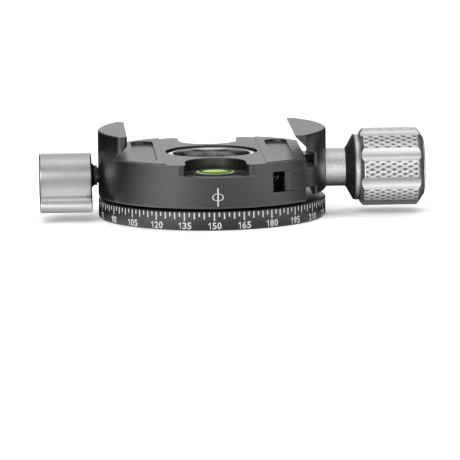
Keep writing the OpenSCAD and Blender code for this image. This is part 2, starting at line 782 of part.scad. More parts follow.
base_plate();
pan_hub();
hub_screws();
glide_ring();
flange_washer();
clamp_body();
screw_bush();
sliding_jaw();
front_spring();
rear_spring();
level_housing();
level_fluid();
level_bubble();
level_window();
clamp_screw();
knob_sleeve();
knob_cone();
knob_ring();
clamp_knob();
knob_cap();
brake_shoe();
lock_screw();
lock_collar();
lock_knob();
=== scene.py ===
"""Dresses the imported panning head: finishes, the engraved degree scale, knurling, threads and light.

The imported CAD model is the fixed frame. Nodes whose shape is right keep it and get a finish. The
others are replaced here by pieces of the same size that carry the fine forms: broken edges, engraved
marks, knurling, threads and wound springs. Sizes are in millimetres, in the CAD's own frame, and
angles in degrees.
"""

import logging
import math
from abc import ABC, abstractmethod
from collections.abc import Callable, Iterator
from contextlib import contextmanager
from dataclasses import dataclass, field
from enum import Enum

import bpy
import numpy as np
from mathutils import Matrix, Vector


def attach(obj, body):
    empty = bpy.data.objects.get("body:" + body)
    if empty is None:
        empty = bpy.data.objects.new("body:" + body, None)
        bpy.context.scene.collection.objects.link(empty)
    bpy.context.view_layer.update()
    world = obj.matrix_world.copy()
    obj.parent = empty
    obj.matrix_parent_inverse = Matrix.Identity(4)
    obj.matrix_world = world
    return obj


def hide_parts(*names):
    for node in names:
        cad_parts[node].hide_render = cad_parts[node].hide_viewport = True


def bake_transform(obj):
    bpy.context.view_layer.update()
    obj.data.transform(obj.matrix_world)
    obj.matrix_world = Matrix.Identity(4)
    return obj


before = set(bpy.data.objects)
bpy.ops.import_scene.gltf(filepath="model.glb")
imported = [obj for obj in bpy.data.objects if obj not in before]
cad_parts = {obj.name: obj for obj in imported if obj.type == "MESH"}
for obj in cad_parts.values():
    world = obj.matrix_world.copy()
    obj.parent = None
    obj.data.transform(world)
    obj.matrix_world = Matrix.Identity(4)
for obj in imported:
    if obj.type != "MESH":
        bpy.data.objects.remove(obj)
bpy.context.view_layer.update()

log = logging.getLogger("panning_head")

MM = 0.001

# How far a cutter reaches past the surface that it cuts, in millimetres
PAST = 1.0

# Vertices that lie closer than this are one, in metres
SAME_SPOT = 1e-7

Piece = bpy.types.Object
Socket = bpy.types.NodeSocket
Colour = tuple[float, float, float]
Place = tuple[float, float, float]
Profile = list[tuple[float, float]]
Stops = tuple[tuple[float, float], ...]


class Axis(Enum):
    """The direction of the axis that a piece is turned about."""

    UPRIGHT = (0.0, 0.0, 1.0)
    ACROSS = (1.0, 0.0, 0.0)


# Shared steps at the bench


def deselect() -> None:
    """Deselects every object."""
    bpy.ops.object.select_all(action="DESELECT")


def pick(piece: Piece) -> None:
    """Selects one piece alone and makes it the active one."""
    deselect()
    piece.select_set(True)
    bpy.context.view_layer.objects.active = piece


@contextmanager
def editing(piece: Piece) -> Iterator[None]:
    """Opens a piece in edit mode with all of it selected, and closes it again."""
    pick(piece)
    bpy.ops.object.mode_set(mode="EDIT")
    bpy.ops.mesh.select_all(action="SELECT")
    yield
    bpy.ops.object.mode_set(mode="OBJECT")


def named(piece: Piece, name: str) -> Piece:
    """Names a piece and its mesh."""
    piece.name = name
    piece.data.name = name
    return piece


def settle(piece: Piece) -> Piece:
    """Moves a piece's place, turn and scale into its mesh."""
    pick(piece)
    bpy.ops.object.transform_apply(location=True, rotation=True, scale=True)
    return piece


def modify(piece: Piece, kind: str, **settings: object) -> Piece:
    """Adds a modifier and applies it.

    Args:
        piece: The piece to change.
        kind: The modifier's type, such as BEVEL.
        **settings: The modifier's settings by name.

    Returns:
        The same piece.
    """
    modifier = piece.modifiers.new(kind.lower(), kind)
    for setting, value in settings.items():
        setattr(modifier, setting, value)
    pick(piece)
    bpy.ops.object.modifier_apply(modifier=modifier.name)
    return piece


def cut(piece: Piece, cutter: Piece, crossed: bool = False) -> Piece:
    """Cuts one piece out of another. The cut faces take the cutter's material.

    Args:
        piece: The piece that is cut.
        cutter: The piece that is cut out, which is used up.
        crossed: Whether faces of one of the two may cross each other, as bold figures' do.

    Returns:
        The cut piece.
    """
    modify(piece, "BOOLEAN", object=cutter, operation="DIFFERENCE", solver="EXACT",
           material_mode="TRANSFER", use_self=crossed)
    bpy.data.objects.remove(cutter)
    return piece


def join(name: str, pieces: list[Piece]) -> Piece:
    """Joins pieces into one.

    Args:
        name: The joined piece's name.
        pieces: The pieces, of which the first one stays.

    Returns:
        The joined piece.
    """
    pick(pieces[0])
    for piece in pieces:
        piece.select_set(True)
    bpy.ops.object.join()
    return named(pieces[0], name)


def turned_copy(piece: Piece, degrees: float) -> Piece:
    """Copies a piece with its own mesh, turned about the upright axis."""
    copy = piece.copy()
    copy.data = piece.data.copy()
    bpy.context.scene.collection.objects.link(copy)
    copy.data.transform(Matrix.Rotation(math.radians(degrees), 4, "Z"))
    return copy


def face_out() -> None:
    """Turns all faces of the piece in edit mode outwards."""
    bpy.ops.mesh.select_all(action="SELECT")
    bpy.ops.mesh.normals_make_consistent(inside=False)


def extrude(piece: Piece, by: Place) -> Piece:
    """Fills a closed wire and extrudes it into a closed piece, by a step in millimetres."""
    with editing(piece):
        bpy.ops.mesh.edge_face_add()
        bpy.ops.mesh.extrude_region_move(TRANSFORM_OT_translate={"value": Vector(by) * MM})
        face_out()
    return piece


def wind(piece: Piece, axis: str, rise: float, turns: int, steps: int) -> Piece:
    """Winds a closed wire about an axis through the origin, and closes both ends.

    Args:
        piece: The wire, which is the section of what is wound.
        axis: The axis, X or Z.
        rise: The way along the axis in one turn, in millimetres.
        turns: The number of turns.
        steps: The steps in one turn.

    Returns:
        The wound piece.
    """
    sides = len(piece.data.vertices)
    modify(piece, "SCREW", axis=axis, angle=math.tau, screw_offset=rise * MM, iterations=turns,
           steps=steps, render_steps=steps, use_merge_vertices=False)
    with editing(piece):
        bpy.ops.mesh.fill_holes(sides=sides)
        face_out()
    return piece


def read_places(piece: Piece) -> np.ndarray:
    """Reads the places of a piece's vertices, in millimetres."""
    places = np.empty(len(piece.data.vertices) * 3)
    piece.data.vertices.foreach_get("co", places)
    return places.reshape(-1, 3) / MM


def write_places(piece: Piece, places: np.ndarray) -> None:
    """Moves a piece's vertices to places in millimetres."""
    piece.data.vertices.foreach_set("co", (places * MM).ravel())
    piece.data.update()


def break_edges(piece: Piece, width: float, rounds: int = 2, from_angle: float = 30.0) -> Piece:
    """Breaks the sharp edges of a piece.

    Args:
        piece: The piece.
        width: Width of the broken edge in millimetres.
        rounds: Segments across it.
        from_angle: Edges that turn by more degrees than this are broken.

    Returns:
        The same piece.
    """
    modify(piece, "BEVEL", width=width * MM, segments=rounds, limit_method="ANGLE",
           angle_limit=math.radians(from_angle), use_clamp_overlap=False, miter_outer="MITER_ARC")
    return piece


def shade(piece: Piece, sharp_from: float = 32.0) -> Piece:
    """Shades a piece smooth, with edges above an angle in degrees left sharp."""
    pick(piece)
    bpy.ops.object.shade_smooth_by_angle(angle=math.radians(sharp_from))
    return piece


def wire(name: str, points: list[Place], closed: bool) -> Piece:
    """Lays a line of vertices by extruding one vertex from point to point.

    Args:
        name: The piece's name.
        points: The places of the vertices in millimetres.
        closed: Whether the last vertex joins the first.

    Returns:
        The wire, with its object at the origin.
    """
    places = [Vector(point) * MM for point in points]
    deselect()
    bpy.ops.mesh.primitive_plane_add(size=MM)
    piece = named(bpy.context.active_object, name)
    with editing(piece):
        bpy.ops.mesh.merge(type="CENTER")
        bpy.ops.transform.translate(value=places[0])
        for last, place in zip(places, places[1:] + places[:1] * closed):
            bpy.ops.mesh.extrude_region_move(TRANSFORM_OT_translate={"value": place - last})
        bpy.ops.mesh.select_all(action="SELECT")
        bpy.ops.mesh.remove_doubles(threshold=SAME_SPOT)
    return piece


@dataclass(frozen=True)
class Lathe:
    """Turns profiles about one axis.

    A profile is a list of (station, radius): the station is counted along the axis from its centre.
    """

    axis: Axis = Axis.UPRIGHT
    centre: Place = (0.0, 0.0, 0.0)
    sides: int = 128

    def place(self, station: float, radius: float) -> Place:
        """Finds where a profile's point lies."""
        x, y, z = self.centre
        if self.axis is Axis.UPRIGHT:
            return (x + radius, y, z + station)
        return (x + station, y, z + radius)

    def turn(self, name: str, profile: Profile, hollow: bool = True) -> Piece:
        """Turns a profile into a closed piece.

        Args:
            name: The piece's name.
            profile: The profile, which a hollow piece closes by itself, and a solid one on the axis.
            hollow: Whether the piece has a hole along its axis.

        Returns:
            The turned piece.
        """
        piece = wire(name, [self.place(*point) for point in profile], closed=hollow)
        with editing(piece):
            bpy.ops.mesh.spin(steps=self.sides, angle=math.tau, center=Vector(self.centre) * MM,
                              axis=self.axis.value)
            bpy.ops.mesh.select_all(action="SELECT")
            bpy.ops.mesh.remove_doubles(threshold=SAME_SPOT)
            face_out()
        return piece


def block(name: str, low: Place, high: Place) -> Piece:
    """Adds a block between two corners."""
    size = Vector(high) - Vector(low)
    deselect()
    bpy.ops.mesh.primitive_cube_add(size=1, location=(Vector(low) + size / 2) * MM, scale=size * MM)
    return settle(named(bpy.context.active_object, name))


def extent(piece: Piece) -> tuple[Vector, Vector]:
    """Finds the low and high corners of a piece's mesh, in metres."""
    places = [vertex.co for vertex in piece.data.vertices]
    return (Vector(min(place[i] for place in places) for i in range(3)),
            Vector(max(place[i] for place in places) for i in range(3)))


def merged_copy(node: str, name: str) -> Piece:
    """Copies a CAD node, merges its loose triangles and joins the flat ones into whole faces.

    Args:
        node: The CAD node.
        name: The copy's name.

    Returns:
        The copy, which rides on nothing yet.
    """
    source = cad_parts[node]
    mesh = source.data.copy()
    piece = bpy.data.objects.new(name, mesh)
    mesh.name = name
    bpy.context.scene.collection.objects.link(piece)
    with editing(piece):
        bpy.ops.mesh.customdata_custom_splitnormals_clear()
        bpy.ops.mesh.remove_doubles(threshold=2e-6)
        bpy.ops.mesh.dissolve_limited(angle_limit=math.radians(0.4))
    mesh.materials.clear()
    return piece


@dataclass(frozen=True)
class Thread:
    """A screw thread, wound as one ridge of three sides, from a first station to a last one."""

    pitch: float
    root: float
    crest: float
    first: float
    last: float
    steps: int
    foot: float = 0.48

    def ridge(self, name: str, lathe: Lathe) -> Piece:
        """Winds the ridge about a lathe's axis."""
        half = self.foot * self.pitch
        section = [(-half, self.root), (0.0, self.crest), (half, self.root)]
        bench = Lathe(lathe.axis)
        start = self.first + half
        piece = wire(name, [bench.place(start + along, radius) for along, radius in section], True)
        turns = round((self.last - self.first - 2 * half) / self.pitch)
        wind(piece, "Z" if lathe.axis is Axis.UPRIGHT else "X", self.pitch, turns, self.steps)
        piece.data.transform(Matrix.Translation(Vector(lathe.centre) * MM))
        return piece

    def screw(self, name: str, lathe: Lathe, core: Profile) -> Piece:
        """Turns a screw's core, winds the thread on it and joins the two."""
        return join(name, [lathe.turn(name, core, hollow=False), self.ridge("ridge", lathe)])


# Finishes


class Graph:
    """The nodes of one material."""

    def __init__(self, name: str) -> None:
        """Starts an empty material."""
        self.material = bpy.data.materials.new(name)
        self.material.use_nodes = True
        self.tree = self.material.node_tree
        self.tree.nodes.clear()

    def add(self, kind: str, inputs: dict | None = None, **settings: object) -> bpy.types.Node:
        """Adds a node.

        Args:
            kind: The node's type without its prefix, such as TexNoise.
            inputs: Values or sockets for its inputs, by name or number.
            **settings: The node's own settings.

        Returns:
            The node.
        """
        node = self.tree.nodes.new("ShaderNode" + kind)
        for setting, value in settings.items():
            setattr(node, setting, value)
        for socket, value in (inputs or {}).items():
            if isinstance(value, Socket):
                self.tree.links.new(value, node.inputs[socket])
            else:
                node.inputs[socket].default_value = value
        return node

    def place(self) -> Socket:
        """Gives the place on the piece, in metres."""
        return self.add("TexCoord").outputs["Object"]

    def scalar(self, operation: str, *values: Socket | float) -> Socket:
        """Works on numbers."""
        return self.add("Math", dict(enumerate(values)), operation=operation).outputs[0]

    def vector(self, operation: str, *values: Socket | Place) -> Socket:
        """Works on vectors. Gives a number for a length or a distance."""
        node = self.add("VectorMath", dict(enumerate(values)), operation=operation)
        return node.outputs["Value" if operation in ("LENGTH", "DISTANCE") else "Vector"]

    def mirrored(self) -> Socket:
        """Tells whether a ray comes from a reflection."""
        return self.add("LightPath").outputs["Is Glossy Ray"]

    def seen(self) -> Socket:
        """Tells whether a ray comes from the camera, straight or through clear plastic."""
        path = self.add("LightPath").outputs
        return self.scalar("MAXIMUM", path["Is Camera Ray"], path["Is Transmission Ray"])

    def noise(self, size: float, detail: float = 2.0, roughness: float = 0.5,
              stretch: Place = (1.0, 1.0, 1.0)) -> Socket:
        """Gives a noise whose lumps have a size in millimetres, drawn out by stretch."""
        scale = tuple(1.0 / (size * MM * s) for s in stretch)
        return self.add("TexNoise", {
            "Vector": self.vector("MULTIPLY", self.place(), scale), "Scale": 1.0, "Detail": detail,
            "Roughness": roughness}).outputs["Fac"]

    def level(self, value: Socket, low: float, high: float, bottom: float = 0.35,
              top: float = 0.65) -> Socket:
        """Maps a noise's middle range to a range of values."""
        return self.add("MapRange", {"Value": value, "From Min": bottom, "From Max": top,
                                     "To Min": low, "To Max": high}).outputs["Result"]

    def blend(self, value: Socket, low: Colour, high: Colour) -> Socket:
        """Blends between two colours by a value from 0 to 1."""
        mix = self.add("Mix", {"Factor": value}, data_type="RGBA")
        mix.inputs[6].default_value = (*low, 1.0)
        mix.inputs[7].default_value = (*high, 1.0)
        return mix.outputs[2]

    def bump(self, height: Socket, depth: float, under: Socket | None = None) -> Socket:
        """Makes a relief of a depth in millimetres from a height of 0 to 1."""
        inputs = {"Height": height, "Distance": depth * MM, "Strength": 1.0}
        if under is not None:
            inputs["Normal"] = under
        return self.add("Bump", inputs).outputs["Normal"]

    def ramp(self, share: Socket, stops: list[tuple[float, float]]) -> Socket:
        """Maps a share through stops of brightness, at most twice white."""
        ramp = self.add("ValToRGB", {"Fac": share})
        elements = ramp.color_ramp.elements
        elements[0].position, elements[1].position = 0.0, 1.0
        for place, bright in stops[1:-1]:
            elements.new(place)
        for element, (place, bright) in zip(elements, stops):
            element.position = place
            element.color = (bright / 2, bright / 2, bright / 2, 1.0)
        return self.scalar("MULTIPLY", ramp.outputs["Color"], 2.0)

    def lean(self, share: Socket, stops: Stops) -> Socket:
        """Maps a lean from -1 to 1 through stops of brightness."""
        return self.ramp(self.level(share, 0.0, 1.0, -1.0, 1.0), [((d + 1) / 2, b) for d, b in stops])

    def horizon(self, place: Socket, stops: Stops) -> Socket:
        """Gives a brightness by how far a place is turned from the front, in degrees to the right."""
        x, y, _ = self.add("SeparateXYZ", {0: place}).outputs
        turn = self.scalar("ARCTAN2", x, self.scalar("MULTIPLY", y, -1.0))
        share = self.level(turn, 0.0, 1.0, -math.pi, math.pi)
        return self.ramp(share, [((d + 180) / 360, b) for d, b in stops])

    def close(self, surface: Socket) -> bpy.types.Material:
        """Ends the material with its surface."""
        self.add("OutputMaterial", {"Surface": surface})
        return self.material


@dataclass(frozen=True)
class Finish(ABC):
    """A finish, which makes one material of its name."""

    name: str

    @abstractmethod
    def surface(self, graph: Graph) -> Socket:
        """Lays out the finish's nodes and gives its surface."""

    def material(self) -> bpy.types.Material:
        """Gives the finish's material, made once."""
        made = bpy.data.materials.get(self.name)
        if made is None:
            graph = Graph(self.name)
            made = graph.close(self.surface(graph))
        return made

    def dress(self, piece: Piece) -> Piece:
        """Gives the whole of a piece this finish."""
        piece.data.materials.clear()
        piece.data.materials.append(self.material())
        return piece


@dataclass(frozen=True)
class Blasted(Finish):
    """Bead-blasted and anodised metal: a fine even grain under faint clouds."""

    dark: Colour = (0.006, 0.006, 0.0066)
    pale: Colour = (0.0085, 0.0085, 0.0095)
    metal: float = 0.0
    shine: float = 1.0
    tint: Colour = (0.95, 0.94, 1.0)
    smooth: float = 0.28
    rough: float = 0.33
    grain: float = 0.09
    grain_deep: float = 0.005
    cloud: float = 2.5

    def surface(self, graph: Graph) -> Socket:
        """Lays out the blasted finish."""
        cloud = graph.noise(self.cloud, detail=4.0, roughness=0.6)
        grain = graph.noise(self.grain, detail=2.0, roughness=0.6)
        return graph.add("BsdfPrincipled", {
            "Base Color": graph.blend(graph.level(cloud, 0.0, 1.0), self.dark, self.pale),
            "Metallic": self.metal,
            "Roughness": graph.level(graph.noise(self.cloud / 3, detail=3.0), self.smooth, self.rough),
            "Specular IOR Level": self.shine,
            "Specular Tint": (*self.tint, 1.0),
            "Normal": graph.bump(grain, self.grain_deep),
        }).outputs["BSDF"]


@dataclass(frozen=True)
class Turned(Finish):
    """Bright metal straight from the lathe: fine rings about its axis, and slight smears."""

    colour: Colour = (0.8, 0.8, 0.81)
    shadow: Colour = (0.62, 0.62, 0.64)
    axis: Axis = Axis.UPRIGHT
    axis_height: float = 0.0
    smooth: float = 0.16
    rough: float = 0.3
    ring: float = 0.12
    ring_deep: float = 0.0025
    smear: float = 1.6

    def along(self, graph: Graph) -> Socket:
        """Gives station plus radius, which grows along a cylinder and out over an end face."""
        centred = graph.vector("SUBTRACT", graph.place(), (0, 0, self.axis_height * MM))
        if self.axis is Axis.UPRIGHT:
            split, keep = 2, (1.0, 1.0, 0.0)
        else:
            split, keep = 0, (0.0, 1.0, 1.0)
        station = graph.add("SeparateXYZ", {0: centred}).outputs[split]
        radius = graph.vector("LENGTH", graph.vector("MULTIPLY", centred, keep))
        return graph.scalar("ADD", station, radius)

    def surface(self, graph: Graph) -> Socket:
        """Lays out the turned finish."""
        rings = graph.add("TexNoise", {"W": self.along(graph), "Scale": 1.0 / (self.ring * MM),
                                       "Detail": 2.0}, noise_dimensions="1D").outputs["Fac"]
        smear = graph.noise(self.smear, detail=4.0, roughness=0.65)
        return graph.add("BsdfPrincipled", {
            "Base Color": graph.blend(graph.level(smear, 0.0, 1.0), self.shadow, self.colour),
            "Metallic": 1.0,
            "Roughness": graph.level(smear, self.smooth, self.rough),
            "Normal": graph.bump(rings, self.ring_deep),
        }).outputs["BSDF"]


@dataclass(frozen=True)
class Moulded(Finish):
    """Moulded plastic: a fine orange-peel skin with slightly uneven gloss."""

    dark: Colour = (0.012, 0.012, 0.013)
    pale: Colour = (0.02, 0.02, 0.021)
    smooth: float = 0.28
    rough: float = 0.42
    shine: float = 0.5
    grain: float = 0.16
    grain_deep: float = 0.004

    def surface(self, graph: Graph) -> Socket:
        """Lays out the moulded finish."""
        cloud = graph.noise(2.2, detail=4.0)
        return graph.add("BsdfPrincipled", {
            "Base Color": graph.blend(graph.level(cloud, 0.0, 1.0), self.dark, self.pale),
            "Roughness": graph.level(cloud, self.smooth, self.rough),
            "Specular IOR Level": self.shine,
            "Normal": graph.bump(graph.noise(self.grain, detail=3.0), self.grain_deep),
        }).outputs["BSDF"]


@dataclass(frozen=True)
class Inlay(Finish):
    """The pale floor of engraved marks: matt, a little uneven, as a laser leaves it."""

    dark: Colour = (0.62, 0.62, 0.61)
    pale: Colour = (0.88, 0.88, 0.87)

    def surface(self, graph: Graph) -> Socket:
        """Lays out the engraved finish."""
        speckle = graph.noise(0.07, detail=3.0, roughness=0.7)
        return graph.add("BsdfPrincipled", {
            "Base Color": graph.blend(graph.level(speckle, 0.0, 1.0, 0.25, 0.6), self.dark, self.pale),
            "Roughness": 0.7,
            "Normal": graph.bump(speckle, 0.006),
        }).outputs["BSDF"]


@dataclass(frozen=True)
class Knurled(Finish):
    """Knurled metal: a painted highlight on the ridges and painted shade in the pits, by the piece's own
    relief attribute.
    """

    # The pits' colour is painted shade and the ridges' a painted highlight, on one metal.
    pit: Colour = (0.2, 0.2, 0.205)
    ridge: Colour = (0.97, 0.97, 0.98)
    smooth: float = 0.2
    rough: float = 0.34
    relief: str = "relief"

    def surface(self, graph: Graph) -> Socket:
        """Lays out the knurled finish."""
        height = graph.add("Attribute", attribute_name=self.relief).outputs["Fac"]
        grain = graph.noise(0.08, detail=2.0, roughness=0.6)
        return graph.add("BsdfPrincipled", {
            "Base Color": graph.blend(graph.level(height, 0.0, 1.0, 0.3, 0.62), self.pit, self.ridge),
            "Metallic": 1.0,
            "Roughness": graph.level(grain, self.smooth, self.rough),
            "Normal": graph.bump(grain, 0.004),
        }).outputs["BSDF"]


@dataclass(frozen=True)
class Fluid(Finish):
    """The level's glowing green-yellow fluid, a shade deeper at its edge."""

    middle: Colour = (0.6, 0.88, 0.13)
    edge: Colour = (0.66, 0.8, 0.13)
    centre: Place = (0.0, -17.2, 11.9)
    radius: float = 4.15
    middle_share: float = 0.45
    glow: float = 0.16

    def surface(self, graph: Graph) -> Socket:
        """Lays out the fluid."""
        away = graph.vector("DISTANCE", graph.place(), tuple(c * MM for c in self.centre))
        share = graph.level(away, 0.0, 1.0, self.middle_share * self.radius * MM, self.radius * MM)
        swirl = graph.noise(1.2, detail=3.0)
        colour = graph.blend(share, self.middle, self.edge)
        return graph.add("BsdfPrincipled", {
            "Base Color": colour,
            "Roughness": graph.level(swirl, 0.12, 0.22),
            "Emission Color": colour,
            "Emission Strength": self.glow,
            "Coat Weight": 0.4,
        }).outputs["BSDF"]


@dataclass(frozen=True)
class Clear(Finish):
    """Clear acrylic that light passes straight through, with a reflecting skin."""

    tint: Colour = (0.93, 1.0, 0.8)
    gloss: float = 0.05

    def surface(self, graph: Graph) -> Socket:
        """Lays out the clear finish."""
        through = graph.add("BsdfTransparent", {"Color": (*self.tint, 1.0)}).outputs[0]
        haze = graph.level(graph.noise(0.8, detail=3.0), self.gloss, self.gloss * 2.5)
        shine = graph.add("BsdfGlossy", {"Roughness": haze}).outputs[0]
        mirror = graph.add("Fresnel", {"IOR": 1.45}).outputs[0]
        return graph.add("MixShader", {0: mirror, 1: through, 2: shine}).outputs[0]


BLACK = Blasted("black_anodised_aluminium")
# The broken edges' paler colour is partly edge wear and partly a painted highlight.
BLACK_EDGE_WEAR_AND_SHEEN = Blasted("black_anodised_edge_wear_and_sheen", dark=(0.06, 0.06, 0.063),
                     pale=(0.11, 0.11, 0.115), smooth=0.26, rough=0.36, grain_deep=0.002)
SILVER = Blasted("silver_blasted_aluminium", dark=(0.84, 0.84, 0.855), pale=(0.9, 0.9, 0.915),
                 metal=1.0, shine=0.5, smooth=0.25, grain=0.1, cloud=3.0)
SILVER_LOCK = Blasted("silver_blasted_lock", dark=(0.66, 0.66, 0.675), pale=(0.7, 0.7, 0.715),
                      metal=1.0, shine=0.5, smooth=0.26, rough=0.31, grain=0.07, grain_deep=0.003,
                      cloud=1.5)
SILVER_SLEEVE = Blasted("silver_blasted_sleeve", dark=(0.7, 0.7, 0.715), pale=(0.92, 0.92, 0.935),
                        metal=1.0, shine=0.5, rough=0.4, grain=0.12, grain_deep=0.009, cloud=0.5)
# The paddle's broken edges are paler and smoother: partly a polished edge, partly a painted highlight.
SILVER_EDGE_POLISH_AND_SHEEN = Blasted("silver_polished_edge_and_sheen", dark=(0.82, 0.82, 0.84), pale=(0.9, 0.9, 0.92),
                      metal=1.0, smooth=0.18, rough=0.28, grain_deep=0.002, cloud=2.0)
KNURLED = Knurled("silver_knurled_aluminium")
BRIGHT_HUB = Turned("bright_turned_hub", colour=(0.92, 0.92, 0.93), shadow=(0.8, 0.8, 0.82), smooth=0.1,
                    rough=0.2)
# Painted shade: the bowl's wall is coloured dark for the shade and dark reflections in the hollow, over
# bright turned metal.
HUB_BOWL_PAINTED_SHADE = Turned("turned_bowl_painted_shade", colour=(0.3, 0.31, 0.33), shadow=(0.12, 0.12, 0.125), smooth=0.16,
                  rough=0.26, smear=2.4)
BRIGHT_RING = Turned("bright_turned_ring", axis=Axis.ACROSS, axis_height=10.1)
STEEL_SCREW = Turned("steel_screw", colour=(0.6, 0.6, 0.62), shadow=(0.42, 0.42, 0.44),
                     axis=Axis.ACROSS, axis_height=10.1, smooth=0.25, rough=0.4)
BLACK_SCREW = Turned("blackened_steel_screw", colour=(0.09, 0.09, 0.095), shadow=(0.04, 0.04, 0.042),
                     axis=Axis.ACROSS, axis_height=9.2, smooth=0.3, rough=0.45)
SPRING_WIRE = Turned("spring_wire", colour=(0.62, 0.62, 0.63), shadow=(0.42, 0.41, 0.4), smooth=0.2,
                     rough=0.34, ring=0.05, ring_deep=0.001)
BRASS = Turned("turned_brass", colour=(0.78, 0.6, 0.28), shadow=(0.6, 0.43, 0.17), axis=Axis.ACROSS,
               axis_height=10.1, smooth=0.22, rough=0.36)
BLACK_PLASTIC = Moulded("black_moulded_plastic")
BLACK_GLOSS = Moulded("black_glossy_plastic", smooth=0.24, rough=0.3, shine=1.0, grain_deep=0.001)
GLIDE = Moulded("white_glide_plastic", dark=(0.78, 0.77, 0.72), pale=(0.86, 0.85, 0.81), smooth=0.3,
                rough=0.4)
MARKS = Inlay("engraved_marks")
GREEN = Fluid("level_green_fluid")
# The bubble's pale middle is a painted highlight, its dark rim painted shade, and its glow painted
# light.
AIR = Fluid("level_air_bubble", middle=(0.72, 0.82, 0.5), edge=(0.12, 0.22, 0.08), radius=1.4, glow=0.3)
DARK_LINE = Moulded("level_target_line", dark=(0.01, 0.025, 0.012), pale=(0.02, 0.045, 0.02))
GLASS = Clear("level_clear_window")


def fit_in(piece: Piece, body: str, slot: str, *nodes: str) -> Piece:
    """Makes a piece ride on its body and stand for its CAD nodes, and reports it.

    Args:
        piece: The finished piece.
        body: The CAD body that it moves with.
        slot: The record's material slot. It is not used.
        *nodes: The CAD nodes that it stands for.

    Returns:
        The same piece.
    """
    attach(piece, body)
    if nodes:
        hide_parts(*nodes)
    log.info("%s: %d faces, on %s, for %s", piece.name, len(piece.data.polygons), body,
             ", ".join(nodes) or "no node")
    return piece


def machined_copy(node: str, name: str, edge: float) -> Piece:
    """Copies a black CAD node and breaks its edges, which are left a shade paler: partly edge wear,
    partly a painted highlight.

    Args:
        node: The CAD node.
        name: The copy's name.
        edge: Width of the broken edges in millimetres.

    Returns:
        The copy.
    """
    piece = BLACK.dress(merged_copy(node, name))
    piece.data.materials.append(BLACK_EDGE_WEAR_AND_SHEEN.material())
    return modify(piece, "BEVEL", width=edge * MM, segments=2, limit_method="ANGLE",
                  angle_limit=math.radians(30), use_clamp_overlap=False, material=1)


def shade_machined(piece: Piece) -> Piece:
    """Shades a piece smooth over its broken edges, with its wide faces kept flat."""
    return modify(shade(piece, 28), "WEIGHTED_NORMAL", keep_sharp=True)


def refinish(piece: Piece, finish: Finish, belongs: Callable[[Vector], bool]) -> None:
    """Gives another finish to some of a piece's faces.

    Args:
        piece: The piece.
        finish: The other finish.
        belongs: Tells by a face's middle, in millimetres, whether the face gets it.
    """
    piece.data.materials.append(finish.material())
    slot = len(piece.data.materials) - 1
    for face in piece.data.polygons:
        if belongs(face.center / MM):
            face.material_index = slot


def dress_node(node: str, finish: Finish) -> None:
    """Gives a CAD node that keeps its shape a finish."""
    finish.dress(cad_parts[node])
    log.info("%s: keeps its shape, in %s", node, finish.name)


# Sub-assemblies


class Tick(Enum):
    """The lengths of the scale's ticks in millimetres, each with the step in degrees it marks."""

    LONG = (1.8, 15.0)
    MEDIUM = (1.4, 5.0)
    SHORT = (0.9, 2.5)


@dataclass(frozen=True)
class HubScrews:
    """The countersunk screws that hold the hub on the base plate, and their seats in the plate."""

    circle: float = 7.575
    turns: tuple[int, ...] = (45, 135, 225, 315)
    seat_head: float = 2.95
    seat_neck: float = 1.05
    neck_at: float = 1.1
    head_from: float = 0.05
    head: float = 1.82
    head_edge: float = 0.12
    shank: float = 0.98
    end: float = 5.0
    socket: float = 0.65
    sides: int = 48

    def seat(self, turn: int, web: float) -> Piece:
        """Makes the cutter for one screw's hole through a web of the plate."""
        angle = math.radians(turn)
        centre = (self.circle * math.cos(angle), self.circle * math.sin(angle), 0.0)
        return BLACK.dress(Lathe(centre=centre, sides=self.sides).turn("screw_seat", [
            (-PAST, 0.0), (-PAST, self.seat_head), (self.neck_at, self.seat_neck),
            (web + PAST, self.seat_neck), (web + PAST, 0.0)], hollow=False))

    def build(self) -> None:
        """Builds one screw with a hexagon socket and sets it at each of its places."""
        screw = Lathe(centre=(self.circle, 0.0, 0.0), sides=self.sides).turn("hub_screw", [
            (self.head_from, 0.0), (self.head_from, self.head - self.head_edge),
            (self.head_edge, self.head), (self.neck_at, self.shank), (self.end, self.shank),
            (self.end, 0.0)], hollow=False)
        STEEL_SCREW.dress(screw)
        deselect()
        bpy.ops.mesh.primitive_cylinder_add(vertices=6, radius=self.socket * MM, depth=2 * PAST * MM,
                                            location=(self.circle * MM, 0, 0))
        cut(screw, STEEL_SCREW.dress(settle(named(bpy.context.active_object, "socket"))))
        screws = [turned_copy(screw, turn) for turn in self.turns]
        bpy.data.objects.remove(screw)
        fit_in(shade(join("hub_socket_screws", screws)), "base", "bright_steel", "hub_screws")


